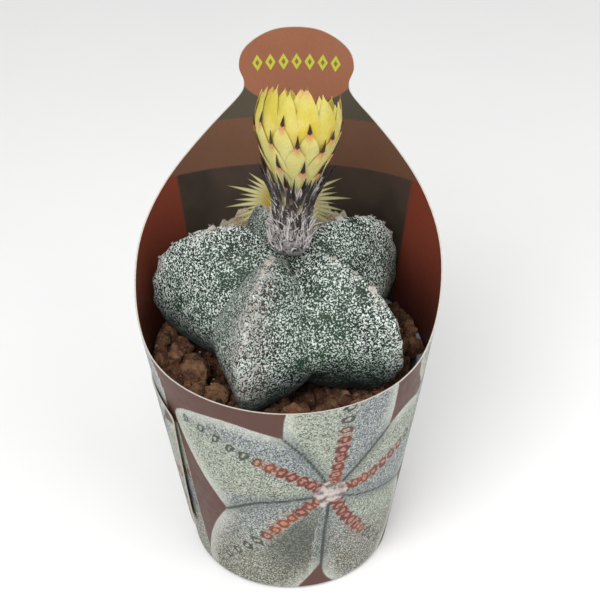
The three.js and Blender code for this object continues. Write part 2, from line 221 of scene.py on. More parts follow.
def add(tree, kind, inputs=None, **settings):
    made = tree.nodes.new(kind)
    for key, value in settings.items():
        setattr(made, key, value)
    for key, value in (inputs or {}).items():
        if isinstance(value, bpy.types.NodeSocket):
            tree.links.new(value, made.inputs[key])
        else:
            made.inputs[key].default_value = value
    return made


def calc(tree, operation, a, b=0.0, c=0.0):
    return add(tree, "ShaderNodeMath", {0: a, 1: b, 2: c}, operation=operation).outputs[0]


def plus(tree, a, b):
    return calc(tree, "ADD", a, b)


def minus(tree, a, b):
    return calc(tree, "SUBTRACT", a, b)


def times(tree, a, b):
    return calc(tree, "MULTIPLY", a, b)


def over(tree, a, b):
    return calc(tree, "DIVIDE", a, b)


def scaled(tree, a, by, shift):
    return calc(tree, "MULTIPLY_ADD", a, by, shift)


def unsigned(tree, a):
    return calc(tree, "ABSOLUTE", a)


def squared(tree, a):
    return calc(tree, "POWER", a, 2.0)


def step(tree, value, low, high, bottom=0.0, top=1.0):
    # From bottom to top as value goes from low to high, smoothly
    inputs = {0: value, 1: low, 2: high, 3: bottom, 4: top}
    return add(tree, "ShaderNodeMapRange", inputs, interpolation_type="SMOOTHSTEP").outputs[0]


def mix(tree, share, a, b, kind="MIX"):
    return add(tree, "ShaderNodeMix", {0: share, 6: a, 7: b}, data_type="RGBA", blend_type=kind).outputs[2]


def field(tree, name):
    return add(tree, "ShaderNodeAttribute", attribute_name=name).outputs["Fac"]


def objectPlace(tree):
    return add(tree, "ShaderNodeTexCoord").outputs["Object"]


def noise(tree, place, size, detail=2.0, roughness=0.5, distortion=0.0):
    # size is how wide the lumps are, in millimetres
    inputs = {"Vector": place, "Scale": 1 / (size * mm), "Detail": detail, "Roughness": roughness,
              "Distortion": distortion}
    return add(tree, "ShaderNodeTexNoise", inputs).outputs["Fac"]


def height(tree, *layers):
    # One bump node for each (height, depth in millimetres), each one on the normal of the last
    normal = None
    for value, depth in layers:
        inputs = {"Height": value, "Distance": depth * mm, "Strength": 1.0}
        if normal is not None:
            inputs["Normal"] = normal
        normal = add(tree, "ShaderNodeBump", inputs).outputs["Normal"]
    return normal


def newGroup(name, inputs, outputs):
    tree = bpy.data.node_groups.new(name, "ShaderNodeTree")
    for label, value in inputs.items():
        kind = "NodeSocketVector" if value is None else "NodeSocketFloat"
        socket = tree.interface.new_socket(label, in_out="INPUT", socket_type=kind)
        if value is not None:
            socket.default_value = value
    for label in outputs:
        tree.interface.new_socket(label, in_out="OUTPUT", socket_type="NodeSocketFloat")
    return tree, tree.nodes.new("NodeGroupInput").outputs, tree.nodes.new("NodeGroupOutput").inputs


def useGroup(tree, group, inputs):
    made = tree.nodes.new("ShaderNodeGroup")
    made.node_tree = group
    for key, value in inputs.items():
        if isinstance(value, bpy.types.NodeSocket):
            tree.links.new(value, made.inputs[key])
        else:
            made.inputs[key].default_value = value
    return made.outputs


def newMaterial(name):
    material = bpy.data.materials.new(name)
    material.use_nodes = True
    tree = material.node_tree
    return material, tree, tree.nodes["Principled BSDF"]


def dress(tree, shader, links, **values):
    # links go into the shader's sockets from nodes, and values are set on its own sockets
    for key, socket in links.items():
        tree.links.new(socket, shader.inputs[key])
    for key, value in values.items():
        shader.inputs[key.replace("_", " ")].default_value = value


def makeFleckGroup():
    # Short winding flecks: noise that is cut off at a level, which Cover lowers to make them denser
    tree, given, made = newGroup("woolFlecks", {"Place": None, "Scale": 1500.0, "Cover": 0.5},
                                 ["Mask", "Height"])
    inputs = {"Vector": given["Place"], "Scale": given["Scale"], "Detail": 0.6, "Roughness": 0.5,
              "Distortion": 0.8}
    fine = add(tree, "ShaderNodeTexNoise", inputs).outputs["Fac"]
    level = scaled(tree, given["Cover"], -0.34, 0.67)
    raised = minus(tree, fine, level)
    tree.links.new(step(tree, raised, -0.022, 0.022), made["Mask"])
    tree.links.new(step(tree, raised, -0.08, 0.12), made["Height"])
    return tree


def makeGrainGroup():
    # Coarse and fine grain together: a colour share and a height
    tree, given, made = newGroup("earthGrain", {"Place": None, "Scale": 400.0}, ["Share", "Height"])
    coarse = add(tree, "ShaderNodeTexNoise",
                 {"Vector": given["Place"], "Scale": given["Scale"], "Detail": 6.0,
                                              "Roughness": 0.65}).outputs["Fac"]
    finer = times(tree, given["Scale"], 3.1)
    cells = add(tree, "ShaderNodeTexVoronoi", {"Vector": given["Place"], "Scale": finer}).outputs["Distance"]
    tree.links.new(step(tree, coarse, 0.35, 0.65), made["Share"])
    tree.links.new(scaled(tree, cells, -0.35, coarse), made["Height"])
    return tree


fleckGroup = makeFleckGroup()
grainGroup = makeGrainGroup()
print("stage: helpers ready")


# ---------- camera, light and floor ----------
view = {
    "azimuth": 4.31, "distance": 355.0, "height": 348.7,  # where it stands, seen from the pot
    "turn": 3.7, "down": 35.69, "roll": -0.62, "lens": 84.43,
    "keyPower": 4.5, "fillPower": 2.0, "skyPower": 0.6,
}


def makeCamera():
    lens = bpy.data.cameras.new("camera")
    lens.lens = view["lens"]
    lens.sensor_width = 36
    lens.clip_start = 0.01
    camera = bpy.data.objects.new("camera", lens)
    place = Matrix.Translation(around(view["azimuth"], view["distance"], view["height"]) * mm)
    turn = Matrix.Rotation(np.radians(view["turn"]), 4, "Z")
    tilt = Matrix.Rotation(np.radians(90 - view["down"]), 4, "X")
    camera.matrix_world = place @ turn @ tilt @ Matrix.Rotation(np.radians(view["roll"]), 4, "Z")
    bpy.context.scene.collection.objects.link(camera)
    bpy.context.scene.camera = camera


def makeLight(name, azimuth, distance, heightAbove, size, power):
    light = bpy.data.lights.new(name, "AREA")
    light.size = size
    light.energy = power
    lamp = bpy.data.objects.new(name, light)
    spot = around(azimuth, distance, heightAbove) * mm
    aim = Vector([0.0, 0.0, 0.09]) - Vector(spot)
    lamp.matrix_world = Matrix.Translation(spot) @ aim.to_track_quat("-Z", "Y").to_matrix().to_4x4()
    bpy.context.scene.collection.objects.link(lamp)


def makeStage():
    sky = bpy.data.worlds.new("sky")
    sky.use_nodes = True
    background = sky.node_tree.nodes["Background"]
    background.inputs["Color"].default_value = (1.0, 1.0, 1.0, 1.0)
    background.inputs["Strength"].default_value = view["skyPower"]
    bpy.context.scene.world = sky
    bpy.context.scene.view_settings.view_transform = "Standard"
    makeLight("keyLight", -22, 520, 620, 0.5, view["keyPower"])
    makeLight("fillLight", 62, 560, 420, 0.7, view["fillPower"])
    material, tree, shader = newMaterial("paleFloor")
    mottle = noise(tree, objectPlace(tree), 60, 3)
    dress(tree, shader, {"Base Color": mix(tree, mottle, tone(244, 244, 244), tone(248, 248, 247))},
          Roughness=0.9)
    line = np.linspace(-1500, 1500, 9)
    across, back = np.meshgrid(line, line)
    floor = skin("floor", [grid(np.stack([across, back, np.zeros_like(across)], -1))], [material])


makeCamera()
makeStage()
print("stage: camera, light and floor")


# ---------- card sleeve ----------
sleeveLook = {
    "bottomRadius": 33.0, "rimRadius": 46.0, "bottom": 1.2, "rim": 86.4, "card": 0.5,
    # half the angle that the back spans, and the height, from the front rim up to the header's top
    "outline": [(130, 86.4), (112, 87.9), (94, 95), (75.5, 106), (57, 115.8), (40, 125), (27, 133.2),
                (19.7, 138.8), (18.1, 142.6), (19.5, 147.5), (18.2, 152.3), (14, 156), (7.4, 158.8),
                (0, 159.5)],
    "columns": 288, "rows": 80, "headerRows": 84,
    "tab": [(15.8, -56.7), (27, -55.5), (44, -52.5), (61, -49.9), (69, -49.1), (72, -54.3)],
    "tabRoot": -80, "tabLift": 1.1,
}


def sleeveRadius(z):
    slope = (sleeveLook["rimRadius"] - sleeveLook["bottomRadius"]) / sleeveLook["rim"]
    return sleeveLook["bottomRadius"] + slope * z


def cardWave(azimuth, z):
    # Near its rim the card bows in and out in three slow waves, by 0.3 mm
    return 0.3 * ease(62, 86, z) * np.sin(np.radians(3 * azimuth + 40))


def flat(azimuth, z, centre=0.0):
    # The card laid flat: millimetres along it from a centre azimuth, and the height
    across = np.radians(azimuth - centre) * sleeveRadius(np.clip(z, 0, 90))
    return np.stack(np.broadcast_arrays(across, z), -1)


# The pictured plant: a star of five lobes seen from above, with a row of round wool marks along each rib.
# Every point is an azimuth and a height on the card; ribs and grooves are listed from the middle outwards.
starPicture = {
    "centre": (21.9, 48.2),
    "ribs": [
        [(25.3, 64.7), (26.7, 81.3), (27.5, 96)],
        [(3.9, 58.4), (-14.3, 65.6), (-33.3, 72), (-47.5, 72.8)],
        [(6.9, 39.7), (-7.9, 28.2), (-29.7, 13.7), (-44, 4)],
        [(32.1, 33), (46.9, 19.4), (62, 8)],
        [(41.7, 50.3), (61.5, 55.1), (80, 58)],
    ],
    "grooves": [
        [(20.4, 30), (19.7, 9.9)],
        [(-3.3, 45.6), (-14.1, 43.1), (-27.3, 37.1)],
        [(17.7, 56.2), (9.9, 66.9), (1.5, 75.4)],
        [(38.7, 61.8), (48.3, 69)],
        [(31.5, 43.9), (48.3, 40.1), (69, 35.4)],
    ],
    "lobes": [
        [(1.5, 75.4), (-6.9, 77.5), (-21.3, 79.6), (-39.3, 77.1), (-48.3, 72.4), (-47.1, 65.2), (-39.3, 50.7),
         (-27.3, 37.1)],
        [(-27.3, 37.1), (-35.7, 27.8), (-44.1, 15.8), (-49.9, 1.4), (-42, -9), (-15, -12), (-1, -5),
         (11, 4.5), (19.7, 13)],
        [(19.7, 13), (22.5, 5.5), (31, -0.5), (44, -4), (60, -2), (74, 10), (76, 24), (69, 35.4)],
        [(69, 35.4), (80, 42), (86, 54), (80, 65), (66, 71.5), (55.5, 71.8), (48.3, 69)],
        [(48.3, 69), (49.5, 80), (47, 92), (30, 100), (10, 97), (3, 86.4), (1.5, 75.4)],
    ],
    # the same star again round the card: azimuth and height of its centre, turn, size
    "others": [(112, 72, 200, 0.9), (197, 36, 75, 0.9), (-88, 40, 140, 0.95)],
    "printSeam": -48.9, "frontEnd": 50,
}


def lineGap(points, line):
    # Distance to a line of points, the length along it and which side, from the nearest stretch
    start, edge = line[:-1], np.diff(line, axis=0)
    reach = points[:, None] - start
    share = np.clip((reach * edge).sum(-1) / (edge**2).sum(-1), 0, 1)
    gap = np.linalg.norm(reach - share[..., None] * edge, axis=-1)
    nearest = gap.argmin(1)
    row = np.arange(len(points))
    lengths = np.linalg.norm(edge, axis=1)
    along = (np.cumsum(lengths) - lengths)[nearest] + share[row, nearest] * lengths[nearest]
    side = edge[nearest, 0] * reach[row, nearest, 1] - edge[nearest, 1] * reach[row, nearest, 0]
    return gap[row, nearest], along, np.where(side < 0, -1.0, 1.0)


def outlineGap(points, outline):
    # Distance to a closed outline, positive inside it
    closed = np.vstack([outline, outline[:1]])
    gap = lineGap(points, closed)[0]
    start, end = closed[:-1], closed[1:]
    x, y = points[:, :1], points[:, 1:]
    crosses = (start[:, 1] > y) != (end[:, 1] > y)
    rise = np.where(end[:, 1] == start[:, 1], 1e-9, end[:, 1] - start[:, 1])
    left = x < start[:, 0] + (y - start[:, 1]) * (end[:, 0] - start[:, 0]) / rise
    return np.where((crosses & left).sum(1) % 2 == 1, gap, -gap)


def fromMiddle(lines):
    # The star's ribs or grooves, each with the middle as its first point
    return [[starPicture["centre"]] + line for line in starPicture[lines]]


def starFields(points):
    # For points laid flat about the star's centre: how far inside the star, how far from a groove, how far
    # along and away from the nearest rib, and how much on its second side
    middle, _ = starPicture["centre"]

    def laid(line, count):
        curve = smoothLine(line, count)
        return flat(curve[:, 0], curve[:, 1], middle)

    outline = np.vstack([laid(line, 18)[:-1] for line in starPicture["lobes"]])
    inside = outlineGap(points, outline)
    groove = np.min([lineGap(points, laid(line, 10))[0] for line in fromMiddle("grooves")], axis=0)
    ribs = [lineGap(points, laid(line, 12)) for line in fromMiddle("ribs")]
    gaps = np.array([gap for gap, _, _ in ribs])
    nearest, row = gaps.argmin(0), np.arange(len(points))
    along = np.array([length for _, length, _ in ribs])[nearest, row]
    side = np.array([sign for _, _, sign in ribs])[nearest, row]
    gap = gaps[nearest, row]
    return inside, groove, along, gap, side * np.minimum(gap, 8) * ease(0, 3, groove)


farOutside = -30  # a distance outside a star that nothing on the card reaches


def outsidePicture(azimuth, z):
    # The print's fields at each point of the outside: the front star, or one of the others beyond the seam
    turn = (azimuth + 180) % 360 - 180
    middle, level = starPicture["centre"]
    found = np.array(starFields(flat(turn, z, middle).reshape(-1, 2)))
    beyond = (turn < starPicture["printSeam"]).ravel()
    found[0, beyond] = farOutside
    for centre, up, spin, size in starPicture["others"]:
        off = (azimuth - centre + 180) % 360 - 180
        place = (flat(off, z) - [0, up]).reshape(-1, 2)
        c, s = np.cos(np.radians(spin)), np.sin(np.radians(spin))
        place = place @ np.array([[c, -s], [s, c]]) / size + [0, level]
        other = np.array(starFields(place))
        other[0, ~beyond & (turn.ravel() < starPicture["frontEnd"])] = farOutside
        better = other[0] > np.maximum(found[0], 0)
        found = np.where(better, other, found)
    names = ["starInside", "grooveGap", "ribAlong", "ribGap", "ribSide"]
    return {name: values.reshape(np.shape(z)) for name, values in zip(names, found)}


def insidePicture(azimuth, z):
    # The print on the back's inside: the low plant that the open flower stands on
    place = flat(azimuth - 180, z)
    x = place[..., 0] - 3
    rim = 1 + 0.05 * np.sin(0.9 * x) + 0.03 * np.sin(2.3 * x + 1)
    return {"plant": np.clip((rim - np.hypot(x / 31, (place[..., 1] - 84) / 17)) * 16, -3, 8)}


def sleeveGrids():
    # The cone from the bottom to the rim all round, and above it rows that span less and less of the back
    look = sleeveLook
    start = look["outline"][0][0]
    backColumns = round(look["columns"] * start / 180)
    backTurns = np.linspace(180 - start, 180 + start, backColumns + 1)
    frontTurns = np.linspace(180 + start, 540 - start, look["columns"] - backColumns + 1)
    coneTurns = np.concatenate([backTurns, frontTurns[1:]])
    heights = np.linspace(look["bottom"], look["rim"], look["rows"] + 1)
    edge = smoothLine(look["outline"] + [(-7.4, 158.8)], (look["headerRows"] * 14) // 13 + 1)
    edge = edge[: np.argmin(abs(edge[:, 0])) + 1]
    edge[-1] = look["outline"][-1]
    cone = np.meshgrid(coneTurns, heights)
    share = np.linspace(-1, 1, backColumns + 1)
    header = (180 + edge[:, :1] * share, np.repeat(edge[:, 1:], backColumns + 1, axis=1))
    outer, inner, places = [], [], []
    for part, (azimuth, z) in enumerate([cone, header]):
        z = z * np.ones_like(azimuth)
        places.append(np.stack([azimuth, z]))
        wave = cardWave(azimuth, z)
        for grids, inwards in ((outer, 0.0), (inner, look["card"])):
            points = around(azimuth, sleeveRadius(z) + wave - inwards, z)
            lay = np.stack([(azimuth - 180) / 100, z / 100], -1)
            fields = insidePicture(azimuth, z) if inwards else outsidePicture(azimuth, z)
            grids.append(grid(points, lay, part=1 if inwards else 0, flip=bool(inwards), **fields))
    # strips of cut edge: round the bottom, along the front's rim and up the header's two sides
    rims = []
    for part, cut, outwards in ((0, np.s_[0], True), (0, np.s_[-1, backColumns:], False),
                                (1, np.s_[:, -1], False), (1, np.s_[:, 0], True)):
        near, far = inner[part]["points"][cut], outer[part]["points"][cut]
        low, high = (near, far) if outwards else (far, near)
        azimuth, z = (np.stack([values[cut]] * 3) for values in places[part])
        fields = {**outsidePicture(azimuth, z), **insidePicture(azimuth, z)}
        rims.append(grid(np.stack([low, (low + high) / 2, high]), part=2, **fields))
    return outer + inner + rims


def tabGrids():
    # The locking tab lies on the outside: flush at its root, and lifted at its free edge
    edge = smoothLine(sleeveLook["tab"], 41)
    share = np.linspace(0, 1, 33)
    azimuth = sleeveLook["tabRoot"] + (edge[:, 1:] - sleeveLook["tabRoot"]) * share
    z = np.repeat(edge[:, :1], len(share), axis=1)
    rise = sleeveLook["tabLift"] * share**2.5 * np.ones_like(z)
    wave = cardWave(azimuth, z)
    card = sleeveLook["card"] * ease(-0.02, 0.5, share)
    low = around(azimuth, sleeveRadius(z) + wave + rise + 0.02, z)
    high = around(azimuth, sleeveRadius(z) + wave + rise + 0.03 + card, z)
    lay = np.stack([(azimuth - 180) / 100, z / 100], -1)
    fields = outsidePicture(azimuth, z)
    grids = [grid(high, lay, **fields), grid(low, part=2, flip=True, **fields)]
    for a, b, cut in ((low, high, np.s_[0]), (high, low, np.s_[-1]), (high, low, np.s_[:, -1]),
                      (low, high, np.s_[:, 0])):
        edge = {name: np.stack([values[cut]] * 2) for name, values in fields.items()}
        grids.append(grid(np.stack([a[cut], b[cut]]), part=2, **edge))
    return grids


def finishPrint(tree, shader, place, shown, ink):
    # Satin ink with faint dots, on card that has a fine tooth and a slow wave
    screen = step(tree, noise(tree, place, 0.5, 1), 0.3, 0.7, 0.0, 0.1)
    shown = mix(tree, screen, shown, ink)
    rough = step(tree, noise(tree, place, 3.0, 3), 0.3, 0.7, 0.42, 0.52)
    bump = height(tree, (noise(tree, place, 0.35, 2), 0.012), (noise(tree, place, 14, 2), 0.12))
    dress(tree, shader, {"Base Color": shown, "Roughness": rough, "Normal": bump}, Specular_IOR_Level=0.25)


def makePrintOutside():
    material, tree, shader = newMaterial("printedCardOutside")
    place = objectPlace(tree)
    inside, groove = field(tree, "starInside"), field(tree, "grooveGap")
    along, gap, side = field(tree, "ribAlong"), field(tree, "ribGap"), field(tree, "ribSide")
    axes = add(tree, "ShaderNodeSeparateXYZ", {0: place}).outputs
    z = axes["Z"]
    # lobes: bluer on one side of the rib, greener on the other, browner low down, paler at the outline
    tint = step(tree, plus(tree, side, times(tree, noise(tree, place, 9), 6.0)), -4.0, 9.0)
    lobe = mix(tree, tint, tone(112, 120, 127), tone(142, 150, 132))
    warm = step(tree, noise(tree, place, 26, 1), 0.4, 0.58)
    lobe = mix(tree, times(tree, warm, step(tree, z, 0.065, 0.012, 0.1, 0.6)), lobe, tone(120, 106, 88))
    lobe = mix(tree, step(tree, z, 0.034, 0.008, 0.0, 0.85), lobe, tone(96, 86, 68))
    lobe = mix(tree, step(tree, inside, 6.5, 0.0, 0.0, 0.8), lobe, tone(178, 180, 170))
    # the lower left lobe is in its own shade beside the groove
    offX = over(tree, minus(tree, axes["X"], 0.006), 0.017)
    offZ = over(tree, minus(tree, z, 0.026), 0.022)
    apart = calc(tree, "SQRT", plus(tree, times(tree, offX, offX), times(tree, offZ, offZ)))
    shade = times(tree, step(tree, apart, 1.2, 0.2, 0.0, 0.9), step(tree, side, 0.0, 4.0))
    lobe = mix(tree, shade, lobe, tone(66, 66, 58))
    flecks = useGroup(tree, fleckGroup, {"Place": place, "Scale": 1650.0, "Cover": 0.44})
    lobe = mix(tree, times(tree, flecks["Mask"], step(tree, inside, 0.5, 6.0, 0.2, 0.85)), lobe,
               tone(58, 68, 64))
    bright = useGroup(tree, fleckGroup, {"Place": place, "Scale": 2000.0, "Cover": 0.36})
    shine = times(tree, bright["Mask"], scaled(tree, shade, -0.45, 0.58))
    lobe = mix(tree, shine, lobe, tone(206, 210, 200))
    # grooves: a shadow with a dark line in it
    lobe = mix(tree, step(tree, groove, 5.0, 0.0, 0.0, 0.5), lobe, tone(78, 90, 90))
    lobe = mix(tree, step(tree, groove, 0.8, 0.3, 0.0, 0.85), lobe, tone(36, 42, 42))
    # rows of ring-shaped wool marks, closer together near the star's middle and fading outwards
    fade = calc(tree, "EXPONENT", times(tree, along, -1 / 75))
    spot = minus(tree, calc(tree, "FRACT", times(tree, fade, -24.0)), 0.5)
    lengthwise = over(tree, times(tree, spot, 75 / 24), fade)
    size = step(tree, along, 26.0, 52.0, 1.0, 0.72)
    wobble = scaled(tree, noise(tree, place, 1.4, 3), 1.5, -0.75)
    reach = add(tree, "ShaderNodeCombineXYZ", {0: over(tree, gap, 2.35), 1: over(tree, lengthwise, 1.7)})
    reach = add(tree, "ShaderNodeVectorMath", {0: reach.outputs[0]}, operation="LENGTH").outputs["Value"]
    ringGap = plus(tree, over(tree, reach, size), wobble)
    red = step(tree, plus(tree, along, times(tree, noise(tree, place, 12, 1), 10.0)), 38.0, 31.0)
    warmth = step(tree, noise(tree, place, 20, 1), 0.45, 0.6)
    mark = mix(tree, red, tone(54, 60, 52), mix(tree, warmth, tone(92, 38, 34), tone(116, 56, 34)))
    core = mix(tree, red, tone(160, 164, 150), mix(tree, warmth, tone(172, 112, 96), tone(186, 126, 82)))
    between = mix(tree, step(tree, noise(tree, place, 1.0, 2), 0.35, 0.6), tone(108, 62, 52),
                  tone(176, 138, 122))
    ragged = plus(tree, gap, scaled(tree, noise(tree, place, 1.6, 2), 2.4, -1.2))
    band = times(tree, step(tree, ragged, 2.5, 1.7), step(tree, along, 34.0, 22.0, 0.0, 0.8))
    lobe = mix(tree, times(tree, band, red), lobe, between)
    lobe = mix(tree, step(tree, ringGap, 0.62, 0.4, 0.0, 0.7), lobe, core)
    ring = times(tree, step(tree, ringGap, 0.3, 0.6), step(tree, ringGap, 1.15, 0.85))
    lobe = mix(tree, times(tree, ring, step(tree, along, 70.0, 52.0, 0.0, 0.95)), lobe, mark)
    spotCentre = times(tree, step(tree, ringGap, 0.12, -0.05), red)
    lobe = mix(tree, spotCentre, lobe, tone(80, 36, 30))
    wool = step(tree, plus(tree, along, times(tree, noise(tree, place, 2.6, 2), 5.0)), 7.9, 6.9)
    woolTone = mix(tree, step(tree, noise(tree, place, 2.4, 3), 0.36, 0.62), tone(104, 92, 92),
                   tone(188, 178, 172))
    lobe = mix(tree, wool, lobe, woolTone)
    ground = mix(tree, noise(tree, place, 30, 2), tone(76, 48, 41), tone(92, 60, 51))
    shown = mix(tree, step(tree, inside, -0.3, 0.3), ground, lobe)
    finishPrint(tree, shader, place, shown, tone(60, 52, 48))
    return material


def makePrintInside():
    material, tree, shader = newMaterial("printedCardInside")
    place = objectPlace(tree)
    lay = add(tree, "ShaderNodeUVMap", uv_map="lay").outputs["UV"]
    split = add(tree, "ShaderNodeSeparateXYZ", {0: lay}).outputs
    turn = times(tree, split["X"], 100.0)
    z = times(tree, split["Y"], 100.0)
    width = unsigned(tree, turn)
    arch = times(tree, squared(tree, over(tree, width, 50.0)), 4.0)
    line = minus(tree, z, arch)
    low = step(tree, z, 70.0, 108.0)
    rust = mix(tree, low, tone(58, 26, 20), tone(118, 54, 38))
    panel = mix(tree, step(tree, noise(tree, place, 18, 2), 0.35, 0.65), tone(54, 45, 39), tone(70, 58, 50))
    shown = mix(tree, step(tree, width, 47.6, 49.2), panel, rust)
    shown = mix(tree, step(tree, line, 113.6, 114.4), shown,
                mix(tree, noise(tree, place, 25, 2), tone(98, 66, 50), tone(112, 80, 60)))
    shown = mix(tree, step(tree, line, 129.8, 130.6), shown,
                mix(tree, noise(tree, place, 25, 2), tone(70, 64, 51), tone(82, 75, 60)))
    # the pictured plant and flower, behind the real ones
    plant = field(tree, "plant")
    flecks = useGroup(tree, fleckGroup, {"Place": place, "Scale": 1300.0, "Cover": 0.5})
    ribs = mix(tree, step(tree, noise(tree, place, 12, 1), 0.4, 0.6), tone(158, 172, 148), tone(150, 118, 84))
    ribs = mix(tree, times(tree, flecks["Mask"], 0.5), ribs, tone(214, 214, 196))
    ribs = mix(tree, step(tree, plant, 1.6, 0.2, 0.0, 0.6), ribs, tone(206, 196, 172))
    shown = mix(tree, step(tree, plant, -0.3, 0.3), shown, ribs)
    # the flower's petals: strips that fan out from a point, with pale tips
    x = scaled(tree, turn, np.radians(48.0), -3.0)
    y = minus(tree, z, 100.0)
    reach = calc(tree, "SQRT", plus(tree, times(tree, x, x), times(tree, y, y)))
    direction = times(tree, calc(tree, "ARCTAN2", y, unsigned(tree, x)), 180 / np.pi)
    fan = over(tree, direction, 6.6)
    part = minus(tree, fan, calc(tree, "FLOOR", fan))
    off = times(tree, unsigned(tree, minus(tree, part, 0.5)), np.radians(6.6))
    odd = calc(tree, "SINE", plus(tree, times(tree, calc(tree, "FLOOR", fan), 2.3), calc(tree, "SIGN", x)))
    length = times(tree, scaled(tree, odd, 3.4, 19.0), step(tree, direction, 75.0, 15.0, 0.55, 1.0))
    slimming = minus(tree, 1.0, squared(tree, over(tree, reach, length)))
    petalGap = minus(tree, times(tree, slimming, 1.15), times(tree, off, reach))
    petalGap = minus(tree, petalGap, step(tree, direction, -28.0, -34.0, 0.0, 9.0))
    petal = mix(tree, step(tree, reach, 6.0, 13.0), tone(168, 148, 54), tone(210, 204, 152))
    petal = mix(tree, step(tree, petalGap, 0.4, 0.0, 0.0, 0.6), petal, tone(112, 98, 52))
    shown = mix(tree, step(tree, petalGap, -0.1, 0.1), shown, petal)
    # the header's round head, with a row of lozenges
    head = plus(tree, squared(tree, over(tree, width, 20.5)),
                squared(tree, unsigned(tree, over(tree, minus(tree, z, 147.3), 13.2))))
    headTone = mix(tree, noise(tree, place, 20, 2), tone(132, 83, 60), tone(147, 95, 69))
    shown = mix(tree, step(tree, head, 1.03, 0.97), shown, headTone)
    cell = minus(tree, calc(tree, "FRACT", plus(tree, over(tree, turn, 4.4), 0.5)), 0.5)
    lozenge = plus(tree, unsigned(tree, times(tree, cell, 2.35)),
                   unsigned(tree, over(tree, minus(tree, z, 148.4), 2.9)))
    hole = step(tree, lozenge, 0.42, 0.34)
    mark = times(tree, minus(tree, step(tree, lozenge, 0.98, 0.88), hole), step(tree, width, 15.6, 15.2))
    shown = mix(tree, mark, shown, tone(172, 178, 56))
    finishPrint(tree, shader, place, shown, tone(40, 34, 30))
    return material


def makeCardEdge():
    material, tree, shader = newMaterial("cutCardEdge")
    place = objectPlace(tree)
    shade = mix(tree, noise(tree, place, 1.2, 3), tone(164, 156, 146), tone(208, 201, 190))
    dress(tree, shader, {"Base Color": shade, "Normal": height(tree, (noise(tree, place, 0.2, 2), 0.02))},
          Roughness=0.85)
    return material


sleeveFinish = [makePrintOutside(), makePrintInside(), makeCardEdge()]
keep(skin("cardSleeve", sleeveGrids(), sleeveFinish), "printed_card", "card_sleeve")
keep(skin("lockingTab", tabGrids(), sleeveFinish), "printed_card")
print("stage: card sleeve")


# ---------- nursery pot ----------
potLook = {
    "height": 74.0, "rimDepth": 7.0, "rimWidth": 2.4, "wall": 1.1, "baseRadius": 30.0, "underRim": 40.6,
    "floor": 3.2, "gap": 0.42, "holes": 6, "holeRadius": 3.6, "holeCircle": 19.5, "columns": 160,
}


def potInside(z):
    share = z / (potLook["height"] - potLook["rimDepth"])
    return potLook["baseRadius"] + (potLook["underRim"] - potLook["baseRadius"]) * share - potLook["wall"]


def roundedProfile(corners, size, steps=4):
    # Each corner is cut back by size, or by a third of its shorter side, and rounded with a parabola
    p = np.asarray(corners, float)
    line = [p[0]]
    for before, corner, after in zip(p[:-2], p[1:-1], p[2:]):
        ways = [before - corner, after - corner]
        lengths = [np.linalg.norm(way) for way in ways]
        cut = min(size, *(length / 3 for length in lengths))
        start, end = (corner + way / length * cut for way, length in zip(ways, lengths))
        for t in np.linspace(0, 1, steps):
            line.append((1 - t) ** 2 * start + 2 * t * (1 - t) * corner + t**2 * end)
    return np.array(line + [p[-1]])


def turned(profile, columns):
    # A profile of radius and height, carried round the Z axis
    azimuth = np.linspace(0, 360, columns + 1)
    return around(azimuth, profile[:, :1], profile[:, 1:])


def makePot():
    look = potLook
    material, tree, shader = newMaterial("greyPotPlastic")
    place = objectPlace(tree)
    cloudy = step(tree, noise(tree, place, 16, 3), 0.35, 0.65)
    shade = mix(tree, cloudy, tone(132, 139, 146), tone(152, 159, 165))
    z = add(tree, "ShaderNodeSeparateXYZ", {0: place}).outputs["Z"]
    soiled = times(tree, step(tree, noise(tree, place, 2.5, 4), 0.5, 0.66),
                   step(tree, z, 0.076, 0.062, 0.15, 0.8))
    shade = mix(tree, soiled, shade, tone(84, 62, 48))
    rough = step(tree, noise(tree, place, 1.2, 3), 0.3, 0.7, 0.38, 0.56)
    bump = height(tree, (noise(tree, place, 0.5, 2), 0.02), (noise(tree, place, 9, 2), 0.1))
    dress(tree, shader, {"Base Color": shade, "Roughness": rough, "Normal": bump}, Specular_IOR_Level=0.45)
    under = look["height"] - look["rimDepth"]
    rimOutside = lambda z: sleeveRadius(z) - sleeveLook["card"] - look["gap"]
    rimInside = rimOutside(look["height"]) - look["rimWidth"]
    corners = [
        (0, 0), (look["baseRadius"], 0), (look["underRim"], under), (rimOutside(under), under),
        (rimOutside(look["height"]), look["height"]), (rimInside, look["height"]),
        (rimInside - 0.4, look["height"] - 1.6), (potInside(under), under - 2),
        (potInside(look["floor"]), look["floor"]), (0, look["floor"]),
    ]
    pot = skin("nurseryPot", [grid(turned(roundedProfile(corners, 0.8), look["columns"]))], [material],
               sharp=50)
    for n in range(look["holes"]):
        ring = turned(np.array([(0, -4), (look["holeRadius"], -4), (look["holeRadius"], 8), (0, 8)]), 32)
        shift = around((n + 0.5) * 360 / look["holes"], look["holeCircle"], 0)
        drill = skin("drill", [grid(ring + shift)], [material])
        cut = pot.modifiers.new("hole", "BOOLEAN")
        cut.object, cut.operation, cut.solver = drill, "DIFFERENCE", "EXACT"
        solid = bpy.data.meshes.new_from_object(pot.evaluated_get(bpy.context.evaluated_depsgraph_get()))
        pot.modifiers.clear()
        pot.data = solid
        bpy.data.objects.remove(drill)
    keep(pot, "pot_plastic", "nursery_pot")


makePot()
print("stage: nursery pot")


